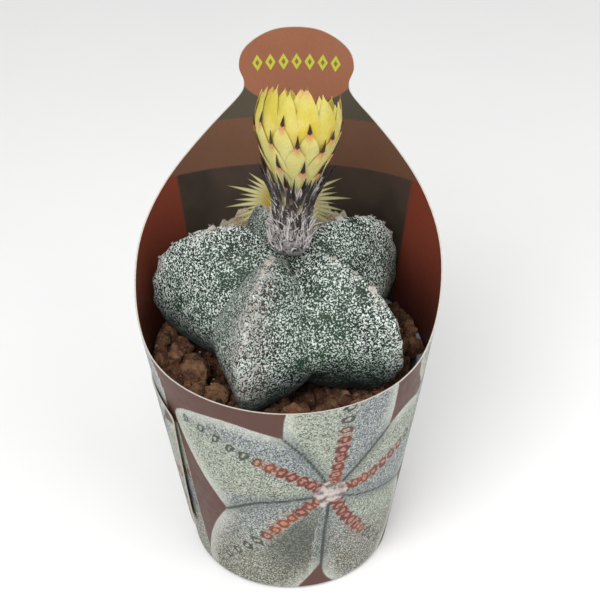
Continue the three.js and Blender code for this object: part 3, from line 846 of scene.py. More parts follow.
# ---------- cactus stem ----------
stemLook = {
    # each rib: azimuth, crest radius, crest's highest point, squareness of the crest's upper outline
    "ribs": [(-102.3, 44.8, 120.5, 2.2), (-16.3, 40.5, 119, 2.6), (59.7, 41.5, 117.5, 2.2),
          (129.7, 43, 117, 2.8), (200.7, 42.5, 117.5, 2.2)],
    "waist": 89, "bottom": 66, "lowerSquareness": 2.2,
    "grooveRadius": 26.8, "grooveTop": 113.5, "grooveSquareness": 1.5,
    "bulge": 1.0, "crestBlunt": 0.06, "grooveBlunt": 0.12, "dimple": (3.0, 9.0), "flatCrown": 16,
    "columns": 360, "rows": 190, "dents": 0.45,
}


def stemSkin(azimuth, alpha):
    # A squat star-shaped globe. In plan a straight flank joins each crest to the groove beside it, with a
    # slight bulge. In height both follow superellipses about the waist. alpha is the angle from the top.
    look = stemLook
    ribs = np.array(look["ribs"])
    starts = np.append(ribs[:, 0] - ribs[0, 0], 360.0)
    turn = (azimuth - ribs[0, 0]) % 360
    after = np.clip(np.searchsorted(starts, turn, side="right"), 1, len(ribs))
    span = starts[after] - starts[after - 1]
    part = (turn - starts[after - 1]) / span
    rib = ribs[np.where(part < 0.5, after - 1, after) % len(ribs)]
    share, half = 1 - abs(2 * part - 1), np.radians(span / 2)
    crest, groove = rib[..., 1], look["grooveRadius"]
    eased = lambda value, blunt: (np.hypot(value, blunt) - blunt) / (np.hypot(1, blunt) - blunt)
    t = 1 - eased(1 - eased(share, look["crestBlunt"]), look["grooveBlunt"])
    flank = crest * groove * np.sin(half) / (crest * np.sin(t * half) + groove * np.sin((1 - t) * half))
    above = np.cos(alpha) >= 0
    flank = flank + look["bulge"] * np.sin(np.pi * t)
    crestSquare = np.where(above, rib[..., 3], look["lowerSquareness"])
    square = crestSquare * (1 - share) + look["grooveSquareness"] * share
    sine = np.abs(np.sin(alpha)) ** (2 / square)
    cosine = np.abs(np.cos(alpha)) ** (2 / square)
    radius = flank * sine
    crestward = (1 - share) * ease(0, look["flatCrown"], radius)
    top = look["grooveTop"] + (rib[..., 2] - look["grooveTop"]) * crestward
    depth, width = look["dimple"]
    z = look["waist"] + np.where(above, top - look["waist"], look["bottom"] - look["waist"]) * cosine
    z = z - np.where(above, depth * np.exp(-((radius / width) ** 2)), 0)
    return radius, z, share


def makeStemSkin():
    material, tree, shader = newMaterial("fleckedCactusSkin")
    place = objectPlace(tree)
    crest, groove = field(tree, "crest"), field(tree, "groove")
    z = add(tree, "ShaderNodeSeparateXYZ", {0: place}).outputs["Z"]
    # skin under the flecks: green, with bare green patches, bluer low down and darker there as painted shade
    under = mix(tree, step(tree, noise(tree, place, 14, 2), 0.38, 0.62), tone(14, 32, 24), tone(32, 58, 38))
    under = mix(tree, step(tree, z, 0.092, 0.074), under, tone(18, 36, 38))
    patch = step(tree, noise(tree, place, 9, 2, 0.4), 0.56, 0.7)
    # the front crest is worn: brown between its flecks, which are dense and tan-grey
    worn = times(tree, step(tree, crest, 0.84, 0.98),
                 step(tree, noise(tree, place, 7, 3), 0.42, 0.6, 0.0, 0.8))
    worn = calc(tree, "MAXIMUM", worn, times(tree, field(tree, "frontWear"),
                                            step(tree, noise(tree, place, 5, 3), 0.34, 0.52, 0.35, 1.0)))
    under = mix(tree, worn, under, tone(62, 50, 42))
    # flecks: how much they cover changes over the flanks, and they close up towards crests and grooves
    cover = scaled(tree, noise(tree, place, 11, 2), 0.36, 0.23)
    cover = minus(tree, cover, times(tree, patch, 0.28))
    cover = plus(tree, cover, step(tree, crest, 0.78, 1.0, 0.0, 0.12))
    cover = plus(tree, cover, times(tree, worn, 0.14))
    cover = plus(tree, cover, times(tree, step(tree, groove, 0.9, 0.98), step(tree, z, 0.09, 0.11, 0.0, 0.2)))
    # fewer flecks low down, as part of the painted shade low on the stem
    cover = minus(tree, cover, step(tree, z, 0.094, 0.074, 0.0, 0.08))
    flecks = useGroup(tree, fleckGroup, {"Place": place, "Scale": 1980.0, "Cover": cover})
    wool = mix(tree, noise(tree, place, 2.0, 2), tone(170, 184, 176), tone(226, 232, 224))
    wornWool = mix(tree, noise(tree, place, 1.5, 2), tone(140, 141, 135), tone(194, 197, 191))
    wool = mix(tree, worn, wool, wornWool)
    # flecks darkened low down: painted shade low on the stem
    wool = mix(tree, step(tree, z, 0.096, 0.076, 0.0, 0.85), wool, tone(68, 88, 86))
    shown = mix(tree, flecks["Mask"], under, wool)
    # a few chalky patches on the worn crests
    chalk = times(tree, worn, step(tree, noise(tree, place, 2.6, 3), 0.56, 0.66, 0.0, 0.75))
    shown = mix(tree, chalk, shown, tone(188, 189, 184))
    rough = scaled(tree, flecks["Mask"], 0.35, 0.55)
    bump = height(tree, (noise(tree, place, 3.0, 3), 0.35), (flecks["Height"], 0.32))
    dress(tree, shader, {"Base Color": shown, "Roughness": rough, "Normal": bump}, Specular_IOR_Level=0.3)
    return material


def stemSurface(azimuth, alpha):
    # The skin with its dents and with a shallow notch in the crest between wool tufts
    radius, z, share = stemSkin(azimuth, alpha)
    points = around(azimuth, radius, z)
    turn = np.radians(azimuth)
    away = np.stack([np.sin(turn) * np.sin(alpha), -np.cos(turn) * np.sin(alpha), np.cos(alpha)], -1)
    notch = 0.35 * (share < 0.12) * np.cos(alpha * 24) * (1 - share / 0.12)
    dent = stemLook["dents"] * lumps(points, 13, 3, 3) - notch
    return points + away * (dent * np.sin(alpha))[..., None], share


def makeStem():
    look = stemLook
    azimuth, alpha = np.meshgrid(np.linspace(0, 360, look["columns"] + 1),
                                 np.linspace(np.pi, 0, look["rows"] + 1))
    points, share = stemSurface(azimuth, alpha)
    off = abs((azimuth + 16.3 + 180) % 360 - 180)
    wear = ease(15, 3, off) * ease(0.1, 0.45, alpha) * ease(2.3, 1.7, alpha)
    piece = skin("cactusStem", [grid(points, crest=1 - share, groove=share, frontWear=wear)],
                 [makeStemSkin()], sharp=180)
    keep(piece, "cactus_skin", "cactus_stem")


makeStem()
print("stage: cactus stem")


# ---------- wool tufts along the crests and in the crown ----------
woolLook = {
    # rib number, angle from the top in degrees, tuft size in mm, in the order of the ribs
    "tufts": [(0, 20, 0.7), (0, 30, 1.3), (0, 42, 0.5), (0, 54, 0.5), (0, 67, 0.45), (1, 12, 1.0),
              (1, 17, 1.3), (1, 23, 0.9), (1, 34, 0.6), (1, 45, 0.5), (1, 57, 0.5), (1, 70, 0.45),
              (2, 22, 0.7), (2, 34, 0.6), (2, 46, 1.5), (2, 59, 0.5), (2, 72, 0.45), (3, 20, 1.4),
              (3, 31, 0.7), (3, 43, 1.2), (3, 56, 0.6), (3, 69, 0.5), (4, 20, 1.0), (4, 33, 0.7),
              (4, 46, 0.9), (4, 59, 0.6), (4, 72, 0.5)],
    "hairs": 12, "crownHairs": 900, "crownRadius": 7.0, "crownHeight": 8.4,
}


def makeWool(name, dark, pale):
    material, tree, shader = newMaterial(name)
    place = objectPlace(tree)
    mottle = scaled(tree, noise(tree, place, 0.9, 3), 1.1, -0.4)
    share = plus(tree, times(tree, field(tree, "shade"), 0.8), mottle)
    colour = mix(tree, share, dark, pale)
    bump = height(tree, (noise(tree, place, 0.25, 2), 0.05))
    dress(tree, shader, {"Base Color": colour, "Normal": bump}, Roughness=0.95, Sheen_Weight=0.15)
    return material


tuftWool = makeWool("paleTuftWool", tone(92, 82, 72), tone(182, 175, 164))
# the grey wool's darkest tone, which the crown felt mostly takes, is painted shade between the hairs
crownWool = makeWool("greyCrownWool", tone(22, 18, 18), tone(206, 200, 198))


def curls(roots, directions, length, bend, steps=6):
    # Strands that leave a root along a direction and wander sideways, more and more towards the tip
    count = len(roots)
    share = np.linspace(0, 1, steps)[None, :, None]
    sideways = dice.normal(size=(count, 1, 3))
    second = dice.normal(size=(count, 1, 3))
    reach = directions[:, None] * share + bend * (sideways * share**2 + 0.5 * second * share**3)
    return roots[:, None] + reach * length[:, None, None]


def makeTufts():
    ribs = np.array(stemLook["ribs"])
    base, faces = roundBlock(6)
    balls, roots, ways, sizes = [], [], [], []
    for rib, degrees, size in woolLook["tufts"]:
        azimuth, alpha = np.array(ribs[rib, 0]), np.array(np.radians(degrees))
        middle, _ = stemSurface(azimuth, alpha)
        above, _ = stemSurface(azimuth, alpha - 0.02)
        run = above - middle
        side = around(azimuth + 90, 1.0, 0.0)
        out = np.cross(run, side)
        out = out / np.linalg.norm(out)
        out = out if out @ (middle - [0, 0, 85]) > 0 else -out
        ball = base * (1 + 0.45 * lumps(base * size, 0.7, rib + degrees, 3))[:, None]
        flatter = ball - 0.62 * (ball @ out)[:, None] * out
        balls.append(flatter * 0.9 * size + middle + out * 0.05)
        spray = dice.normal(size=(woolLook["hairs"], 3)) + 0.9 * out
        spray /= np.linalg.norm(spray, axis=1, keepdims=True)
        spray = spray * np.sign(spray @ out)[:, None]
        roots.append(middle + spray * size * 0.7)
        ways.append(spray)
        sizes.append(np.full(woolLook["hairs"], size))
    shade = np.array([min(1.0, 0.35 + 0.4 * size) for _, _, size in woolLook["tufts"]])
    keep(copies("crestTufts", np.array(balls), faces, tuftWool, shade=shade), "wool")
    roots, ways, sizes = np.vstack(roots), np.vstack(ways), np.concatenate(sizes)
    paths = curls(roots, ways, sizes * dice.uniform(0.25, 0.6, len(sizes)), 0.35, 4)
    width = np.linspace(0.07, 0.02, 4) * np.ones((len(paths), 1))
    outward = np.broadcast_to([0.3, 0.2, 1.0], paths.shape)
    keep(strands("crestTuftHairs", paths, outward, width, width, tuftWool,
                 shade=dice.uniform(0.4, 1, (len(paths), 1))), "wool")


makeTufts()

flowerLook = {
    "x": 1.0, "y": 1.0, "base": 113.4, "lean": 3.5, "leanBack": 6.0,
    # outside of the innermost ring: height above the flower's base, and radius
    "profile": [(0, 3.0), (10, 3.3), (16, 3.4), (19, 3.9), (22, 4.9), (25, 6.2), (31.6, 9.3), (38, 11.5),
                (43, 12.2), (48, 11.8), (53, 10.2), (58, 8.4)],
    "ringStep": 1.0,
}


def flowerPlace(points):
    # From the flower's own upright axis to where it stands: leaning back, then towards +X
    lean, back = np.radians(flowerLook["lean"]), np.radians(flowerLook["leanBack"])
    x, y, z = points[..., 0], points[..., 1], points[..., 2]
    y, z = y * np.cos(back) + z * np.sin(back), z * np.cos(back) - y * np.sin(back)
    return np.stack([x * np.cos(lean) + z * np.sin(lean) + flowerLook["x"], y + flowerLook["y"],
                     z * np.cos(lean) - x * np.sin(lean) + flowerLook["base"]], -1)


def envelope(z):
    heights, radii = np.array(flowerLook["profile"]).T
    return np.interp(z, heights, radii)


def makeCrown():
    # A lumpy ring of felt round the flower's foot, in the stem's dimple, with wandering hairs all over it.
    # The felt is painted nearly black, as painted shade in the gaps between the hairs.
    azimuth, turn = np.meshgrid(np.linspace(0, 360, 97), np.linspace(0, 360, 41))
    ring, tall = woolLook["crownRadius"], woolLook["crownHeight"]
    radius = 0.62 * ring + 0.38 * ring * np.cos(np.radians(turn)) - 0.6
    z = flowerLook["base"] + 0.36 * tall + 0.45 * tall * np.sin(np.radians(turn))
    points = around(azimuth, radius, z) + [flowerLook["x"], flowerLook["y"], 0]
    centre = around(azimuth, 0.62 * ring,
                    flowerLook["base"] + 0.36 * tall) + [flowerLook["x"], flowerLook["y"], 0]
    away = points - centre
    away /= np.linalg.norm(away, axis=-1, keepdims=True) + 1e-9
    points = points + away * (0.45 * lumps(points, 2.2, 8, 3))[..., None]
    # a low share keeps the felt near the wool's darkest tone: painted shade between the hairs
    shade = 0.05 + 0.25 * lumps(points, 1.2, 9, 2)
    keep(skin("crownFelt", [grid(points, shade=shade)], [crownWool], sharp=180), "wool", "crown_wool")
    count = woolLook["crownHairs"]
    azimuth, turn = dice.uniform(0, 360, count), dice.uniform(-20, 200, count)
    radius = 0.62 * ring + 0.38 * ring * np.cos(np.radians(turn)) - 0.8
    z = flowerLook["base"] + 0.36 * tall + 0.45 * tall * np.sin(np.radians(turn)) - 0.3
    roots = around(azimuth, radius, z) + [flowerLook["x"], flowerLook["y"], 0]
    ways = around(azimuth + 25, 0.3 * np.cos(np.radians(turn)) - 0.1, 0.9 + 0.3 * np.sin(np.radians(turn)))
    ways = ways + dice.normal(scale=0.25, size=ways.shape)
    ways /= np.linalg.norm(ways, axis=1, keepdims=True)
    paths = curls(roots, ways, dice.uniform(1.8, 4.4, count), 0.28)
    width = np.linspace(0.26, 0.06, 6) * dice.uniform(0.6, 1.4, (count, 1))
    outward = np.broadcast_to(around(azimuth, 1.0, 0.4)[:, None], paths.shape)
    keep(strands("crownHairs", paths, outward, width, width, crownWool,
                 shade=dice.uniform(0.1, 1.5, (count, 1))), "wool")


makeCrown()
print("stage: wool")


# ---------- flower ----------
tepalLook = {
    # ring: name, count, lowest and highest point, layer, half width, turn, length of the spine at its tip,
    # how full its tip is, and whether it stands for solids of the frame
    "rings": [
        ("tube_scale", 9, 13, 27, 3, 1.1, 0, 9.0, 2.0, True),
        ("pale_scale", 10, 14, 28, 2.4, 2.7, -14, 5.0, 3.6, False),
        ("tepal_outer", 9, 17, 33.5, 1.9, 3.7, -25, 4.4, 3.6, True),
        ("tepal_middle", 10, 20, 39, 1.5, 4.2, 3, 4.0, 3.6, True),
        ("tepal_high", 10, 23, 42.5, 1.1, 4.3, -18, 2.6, 4.0, False),
        ("tepal_inner", 12, 24, 50.6, 0.6, 4.5, 15, 0.8, 4.4, True),
        ("tepal_deep", 11, 25, 49.8, 0.0, 4.4, 4, 0.4, 4.2, False),
    ],
    # the highest rings stand this much higher and are drawn in this much on the side of this azimuth
    "rise": 4.6, "tuck": 2.4, "towards": -15.0, "tipStep": 1.1,
    "thickness": 0.26, "spineHalfWidth": 0.72, "cup": 0.22, "lap": 0.14, "rows": 40, "columns": 11,
}


def makeTepalFinish(name, foot, middle, top):
    material, tree, shader = newMaterial(name)
    lay = add(tree, "ShaderNodeUVMap", uv_map="lay").outputs["UV"]
    split = add(tree, "ShaderNodeSeparateXYZ", {0: lay}).outputs
    place = objectPlace(tree)
    share, tip = field(tree, "along"), field(tree, "tip")
    shown = mix(tree, step(tree, share, 0.0, 0.45), foot, middle)
    shown = mix(tree, step(tree, share, 0.45, 0.95), shown, top)
    shown = mix(tree, step(tree, noise(tree, place, 5.0, 2), 0.35, 0.7, 0.0, 0.35), shown,
                tone(212, 204, 142))
    # fine veins run from foot to tip
    stretched = add(tree, "ShaderNodeMapping", {"Vector": lay, "Scale": (5.0, 1.2, 1.0)}).outputs[0]
    veins = add(tree, "ShaderNodeTexNoise", {"Vector": stretched, "Scale": 1.0, "Detail": 3.0}).outputs["Fac"]
    shown = mix(tree, step(tree, veins, 0.42, 0.66, 0.0, 0.4), shown, tone(172, 156, 70))
    middleLine = step(tree, unsigned(tree, split["X"]), 0.4, 0.0, 0.0, 0.25)
    shown = mix(tree, middleLine, shown, tone(176, 168, 92))
    # a spine of dark brown, and below it a pink patch that fades downwards; tip is the distance from it in mm
    ragged = plus(tree, tip, scaled(tree, noise(tree, place, 0.9, 3), 1.0, -0.5))
    patch = step(tree, plus(tree, unsigned(tree, split["X"]), times(tree, ragged, -0.2)), 1.9, 0.8)
    spined = field(tree, "spined")
    blush = times(tree, step(tree, ragged, -4.2, -0.6, 0.0, 0.8), times(tree, patch, spined))
    shown = mix(tree, blush, shown, tone(190, 110, 84))
    pointed = plus(tree, ragged, times(tree, unsigned(tree, split["X"]), -0.6))
    shown = mix(tree, times(tree, step(tree, pointed, -0.9, -0.3), spined), shown, tone(38, 20, 18))
    bump = height(tree, (veins, 0.12), (noise(tree, place, 0.8, 2), 0.03))
    dress(tree, shader, {"Base Color": shown, "Normal": bump}, Roughness=0.45, Subsurface_Weight=0.2,
          Subsurface_Radius=(0.003, 0.0022, 0.0006), Subsurface_Scale=0.5, Specular_IOR_Level=0.35)
    return material


def makeBractFinish():
    material, tree, shader = newMaterial("darkBract")
    place = objectPlace(tree)
    along = field(tree, "along")
    shown = mix(tree, step(tree, along, 0.05, 0.3), tone(84, 72, 64), tone(24, 17, 17))
    shown = mix(tree, step(tree, noise(tree, place, 0.9, 3), 0.5, 0.66, 0.0, 0.3), shown, tone(82, 66, 60))
    dress(tree, shader, {"Base Color": shown, "Normal": height(tree, (noise(tree, place, 0.4, 2), 0.05))},
          Roughness=0.6)
    return material


def tepalGrids(n, count, low, high, layer, halfWidth, turn, spine, full):
    # A blade on the flower's funnel: it widens from its foot, rounds off to a shoulder and ends in a spine.
    # One edge lies over the next blade and the other under it; it is thinnest at its edges.
    look = tepalLook
    facing = np.cos(np.radians(turn + 360 / count * n - look["towards"])) * ease(28, 46, high)
    top = high + look["rise"] * facing - look["tipStep"] * ((n * 7) % 3)
    share, side = np.meshgrid(np.linspace(0, 1, look["rows"]), np.linspace(-1, 1, look["columns"]),
                              indexing="ij")
    share = 1 - (1 - share) ** 1.25
    z = low + (top - low) * share
    body = 1 - spine / (top - low)
    up = np.clip(share / body, 0, 1)
    point = np.clip((share - body) / (1 - body), 0, 1)
    width = halfWidth * (0.5 + 0.5 * ease(0, 0.5, up)) * (1 - up**full) ** 0.9
    width = np.maximum(width, look["spineHalfWidth"] * min(1, spine / 2.5) * (1.04 - point))
    radius = envelope(z) + flowerLook["ringStep"] * layer + dice.uniform(-0.1, 0.3) * share**3
    radius = radius - look["tuck"] * (0.5 + 0.5 * facing) * ease(0.5, 1.0, (z - 24) / 30)
    bend = np.degrees(dice.normal(scale=0.25) * share**2 / radius)
    lapping = look["lap"] * side * (1 - point)
    curl = -look["cup"] * side**2 * np.sin(np.pi * up) + 0.12 * np.sin(6 * share + 3 * side + n) * abs(side)
    keel = 0.2 * np.exp(-((side / 0.15) ** 2)) * np.sin(np.pi * np.clip(share * 1.1, 0, 1))
    thick = look["thickness"] * (1 - 0.75 * side**2) * (1 - 0.4 * share)
    angle = turn + 360 / count * n + bend + np.degrees(width * side / radius)
    outer = flowerPlace(around(angle, radius + curl + lapping + keel, z))
    inner = flowerPlace(around(angle, radius + curl + lapping + keel - thick, z))
    lay = np.stack([width * side, z], -1)
    spined = 1.0 if spine > 1.5 else 0.7 * (n % 3 == 0)  # only some of the highest tips are dark
    fields = {"along": share, "tip": (share - body) * (top - low), "spined": spined + 0 * share}
    grids = [grid(outer, lay, **fields), grid(inner, lay, flip=True, **fields)]
    # strips of edge: at the foot, at the tip and along both sides
    for a, b, cut in ((inner, outer, np.s_[0]), (outer, inner, np.s_[-1]),
                      (outer, inner, np.s_[:, -1]), (inner, outer, np.s_[:, 0])):
        edge = {key: np.stack([value[cut]] * 2) for key, value in fields.items()}
        grids.append(grid(np.stack([a[cut], b[cut]]), np.stack([lay[cut]] * 2), **edge))
    return grids


def makeTepals():
    dark = makeBractFinish()
    cream = makeTepalFinish("creamTepal", tone(142, 132, 98), tone(196, 188, 130), tone(198, 188, 122))
    pale = makeTepalFinish("paleYellowTepal", tone(180, 172, 116), tone(192, 182, 112), tone(194, 182, 84))
    yellow = makeTepalFinish("yellowTepal", tone(192, 160, 18), tone(194, 166, 26), tone(188, 174, 64))
    finishes = {"tube_scale": dark, "pale_scale": cream, "tepal_outer": cream, "tepal_middle": pale,
                "tepal_high": pale, "tepal_inner": yellow, "tepal_deep": yellow}
    slots = {dark: "scale_skin", cream: "tepal_pale", pale: "tepal_cream", yellow: "tepal_yellow"}
    for name, count, low, high, layer, halfWidth, turn, spine, full, solid in tepalLook["rings"]:
        for n in range(count):
            number = twoDigits(n + 1)
            grids = tepalGrids(n, count, low, high, layer, halfWidth, turn, spine, full)
            piece = skin(name.replace("_", "-") + "-" + number, grids, [finishes[name]], sharp=60)
            keep(piece, slots[finishes[name]], *([name + "_" + number] if solid else []))
    return dark


darkBract = makeTepals()

neckLook = {
    "foot": 3.8, "neck": 4.6, "mouth": 5.0, "height": 24.0, "cup": 17.0, "wall": 1.0,
    # rows of dark pointed bracts: height of the root, how many, length, half width, gap from the tube
    "bracts": [(2.5, 12, 6.5, 0.5, 0.3), (5, 13, 7, 0.52, 0.4), (7.5, 13, 7.5, 0.55, 0.5),
               (10, 14, 8, 0.58, 0.6), (12.5, 14, 8.5, 0.6, 0.7), (15, 15, 9, 0.6, 0.8),
               (17.5, 13, 9, 0.6, 0.9), (20.5, 10, 8, 0.55, 1.0)],
    "hairs": 1100,
}


def funnel(z):
    # The outermost skin of the flower, over the scales
    return np.maximum(envelope(z) + 2.1 + 1.1 * ease(12, 24, z) - 1.2 * ease(27, 34, z), 5.2)


def makeNeck():
    look = neckLook
    material, tree, shader = newMaterial("flowerTubeSkin")
    place = objectPlace(tree)
    # the tube's skin is dark olive-brown, as painted shade that shows in the gaps between the bracts and
    # hairs
    shown = mix(tree, step(tree, noise(tree, place, 1.6, 3), 0.4, 0.6), tone(52, 48, 38), tone(96, 90, 70))
    dress(tree, shader, {"Base Color": shown, "Normal": height(tree, (noise(tree, place, 0.7, 3), 0.2))},
          Roughness=0.8)
    corners = [(0, 0.3), (look["foot"], 0.3), (look["neck"], look["height"] / 2),
               (look["mouth"], look["height"]), (look["mouth"] - look["wall"], look["height"]),
               (look["neck"] - look["wall"], look["cup"]), (0, look["cup"])]
    tube = flowerPlace(turned(roundedProfile(corners, 0.6), 64))
    keep(skin("flowerTube", [grid(tube)], [material]), "flower_tube", "flower_tube")
    roots, azimuths, lengths, widths, gaps = [], [], [], [], []
    for row, (z, count, length, width, gap) in enumerate(look["bracts"]):
        azimuth = 360 / count * np.arange(count) + 137.5 * row + dice.normal(scale=4, size=count)
        roots.append(z + dice.normal(scale=0.5, size=count))
        azimuths.append(azimuth)
        lengths.append(length * dice.uniform(0.85, 1.15, count))
        widths.append(np.full(count, width))
        gaps.append(np.full(count, gap))
    roots, azimuths, lengths, widths, gaps = map(np.concatenate, (roots, azimuths, lengths, widths, gaps))
    share = np.linspace(0, 1, 9)
    z = roots[:, None] + lengths[:, None] * share
    lift = gaps[:, None] + dice.uniform(0, 0.7, (len(roots), 1)) * share**2
    paths = flowerPlace(around(azimuths[:, None] + 5 * share * dice.normal(size=(len(roots), 1)),
                               funnel(z) + lift, z))
    outward = np.broadcast_to(around(azimuths, 1.0, 0.0)[:, None], paths.shape)
    shape = np.sin(np.pi * (0.25 + 0.75 * share)) ** 0.9
    width = widths[:, None] * np.maximum(shape, 0.08)
    keep(strands("neckBracts", paths, outward, width, 0.3 * width, darkBract, along=share + 0 * width),
         "scale_skin")
    # grey wool between the bracts
    count = look["hairs"]
    azimuth, z = dice.uniform(0, 360, count), 21 * dice.uniform(0, 1, count)
    starts = around(azimuth, funnel(z) - 0.2, z)
    ways = around(azimuth, 0.22, 1.0) + dice.normal(scale=0.16, size=(count, 3))
    ways /= np.linalg.norm(ways, axis=1, keepdims=True)
    paths = flowerPlace(curls(starts, ways, dice.uniform(2.4, 5.6, count), 0.22))
    width = np.linspace(0.2, 0.05, 6) * dice.uniform(0.6, 1.4, (count, 1))
    outward = np.broadcast_to(around(azimuth, 1.0, 0.0)[:, None], paths.shape)
    keep(strands("neckHairs", paths, outward, width, width, crownWool,
                 shade=dice.uniform(0.2, 1.5, (count, 1))), "wool")


makeNeck()

stamenLook = {"count": 150, "inner": 1.7, "outer": 2.5, "from": 17.8, "head": 5.0, "top": 38, "style": 0.8,
              "styleTop": 43}


def makeStamens():
    look = stamenLook
    material, tree, shader = newMaterial("yellowStamen")
    place = objectPlace(tree)
    shown = mix(tree, step(tree, field(tree, "along"), 0.85, 0.97), tone(222, 204, 120), tone(224, 178, 40))
    shown = mix(tree, step(tree, noise(tree, place, 0.5, 2), 0.4, 0.6, 0.0, 0.4), shown, tone(240, 214, 110))
    dress(tree, shader, {"Base Color": shown, "Normal": height(tree, (noise(tree, place, 0.3, 2), 0.05))},
          Roughness=0.7)
    count, share = look["count"], np.linspace(0, 1, 9)
    azimuth = 137.5 * np.arange(count)
    level = dice.uniform(0, 1, count)
    foot = look["inner"] + (look["outer"] - look["inner"]) * level
    head = 2.2 + (look["head"] - 2.2) * level
    top = look["top"] - 5 * dice.uniform(0, 1, count) * level
    radius = foot[:, None] + (head - foot)[:, None] * share**1.5
    z = look["from"] + (top - look["from"])[:, None] * share
    paths = flowerPlace(around(azimuth[:, None], radius, z))
    width = np.where(share > 0.86, 0.33, 0.09) * np.ones((count, 1))
    width[:, -1] = 0.12
    outward = np.broadcast_to(around(azimuth, 1.0, 0.1)[:, None], paths.shape)
    bunch = strands("stamens-bunch", paths, outward, width, width, material, along=share + 0 * width)
    keep(bunch, "stamen", "stamens")
    # the style ends in a star of stigma lobes
    corners = [(0, look["from"]), (look["style"], look["from"]), (look["style"] * 0.8, look["styleTop"] - 4),
               (look["style"], look["styleTop"] - 1.5), (0, look["styleTop"] - 0.6)]
    stalk = flowerPlace(turned(roundedProfile(corners, 0.4), 24))
    pillar = skin("stylePillar", [grid(stalk, along=0.5 * np.ones(stalk.shape[:2]))], [material])
    keep(pillar, "style", "style")
    lobes, share = 9, np.linspace(0, 1, 7)
    azimuth = 360 / lobes * np.arange(lobes)
    radius = 0.4 + 1.7 * share
    paths = flowerPlace(around(azimuth[:, None], radius,
                               look["styleTop"] - 1.6 + 1.7 * share**0.7 + 0 * azimuth[:, None]))
    width = 0.28 * np.sqrt(np.clip(1.15 - share, 0.05, 1)) * np.ones((lobes, 1))
    outward = np.broadcast_to([0.0, 0.0, 1.0], paths.shape)
    keep(strands("stigmaLobes", paths, outward, width, width, material, along=0.4 + 0 * width), "style")


makeStamens()
print("stage: flower")


# ---------- soil ----------
soilLook = {
    "level": 67.6, "roughness": 1.1, "columns": 260, "rows": 70,
    # each clod: azimuth, distance from the axis, height of its middle, half sizes along, across, up, redness
    "clods": [
        (-70, 31.4, 72.6, 6.8, 5.6, 4.6, 0.2), (-45, 31.5, 72.0, 5.4, 4.6, 3.8, 0.4),
        (-90, 36.6, 70.2, 2.6, 2.2, 2.2, 0.4), (10, 32.0, 71.6, 3.7, 3.2, 3.0, 0.0),
        (26, 30.8, 71.8, 3.3, 3.1, 2.8, 0.6), (40, 34.6, 71.4, 3.2, 2.8, 2.5, 0.5),
        (92, 32.6, 72.2, 5.0, 4.6, 3.8, 0.8), (109, 36.3, 71.0, 3.2, 2.8, 2.6, 0.6),
        (160, 30.6, 72.0, 5.2, 4.4, 3.9, 0.6), (174, 36.0, 70.8, 3.0, 2.6, 2.5, 0.4),
        (226, 31.0, 72.0, 5.0, 4.6, 3.6, 0.7), (243, 35.6, 71.0, 2.9, 2.7, 2.5, 0.5),
    ],
    "lumps": 300, "crumbs": 1700, "grains": 90, "spilled": 300,
}


def makeEarth(name, dark, pale, dry, scale):
    material, tree, shader = newMaterial(name)
    place = objectPlace(tree)
    grain = useGroup(tree, grainGroup, {"Place": place, "Scale": scale})
    red = field(tree, "red")
    shown = mix(tree, grain["Share"], dark, pale)
    shown = mix(tree, step(tree, noise(tree, place, 4.0, 3), 0.48, 0.68, 0.0, 0.7), shown, dry)
    shown = mix(tree, times(tree, red, 0.45), shown, tone(98, 56, 40))
    # each lump is a little paler or darker than the next one
    own = calc(tree, "FRACT", times(tree, red, 7.3))
    shown = mix(tree, step(tree, own, 0.6, 1.0, 0.0, 0.55), shown, dry)
    shown = mix(tree, step(tree, own, 0.4, 0.0, 0.0, 0.5), shown, dark)
    dots = step(tree, noise(tree, place, 0.7, 1), 0.73, 0.78)
    shown = mix(tree, dots, shown, tone(196, 176, 154))
    bump = height(tree, (grain["Height"], 1.1), (noise(tree, place, 0.45, 3), 0.3))
    dress(tree, shader, {"Base Color": shown, "Normal": bump}, Roughness=0.95, Specular_IOR_Level=0.25)
    return material


earth = makeEarth("pottingEarth", tone(42, 29, 22), tone(98, 67, 50), tone(126, 93, 69), 480.0)
clodEarth = makeEarth("dryClodEarth", tone(58, 39, 29), tone(116, 82, 60), tone(146, 110, 80), 420.0)


def soilHeight(azimuth, radius):
    # Lumpy, hollow under the stem, heaped to the rim at the front and both sides, lower at the wall elsewhere
    turn = (azimuth + 180) % 360 - 180
    flatPoints = around(azimuth, radius, 0.0)
    z = soilLook["level"] + soilLook["roughness"] * lumps(flatPoints, 6, 21, 3)
    heaped = np.maximum(ease(-125, -95, turn) * ease(76, 60, turn), ease(84, 94, turn) * ease(140, 115, turn))
    z = z + heaped * 5.6 * ease(25, 35, radius) - (1 - heaped) * 1.6 * ease(36, 39.5, radius)
    return np.where(radius < 27, np.minimum(z, 64.6 + 3.4 * ease(14, 27, radius)), z)


def makeSoil():
    look = soilLook
    azimuth = np.linspace(0, 360, look["columns"] + 1)
    edge = potInside(look["level"] - 3) - 0.35
    lowEdge = potInside(3.5) - 0.35
    topRadius = edge * np.sqrt(np.linspace(1, 0, look["rows"]))[:, None] * np.ones_like(azimuth)
    top = around(azimuth, topRadius, soilHeight(azimuth, topRadius))
    bottom = around(azimuth, np.array([[0], [0.5], [1]]) * lowEdge, 3.5)
    wall = np.stack([bottom[-1], (bottom[-1] + top[0]) / 2, top[0]])
    grids = [grid(bottom), grid(wall), grid(top, red=0.25 + 0.25 * lumps(top, 9, 5))]
    keep(skin("pottingSoil", grids, [earth], sharp=60), "soil", "potting_soil")


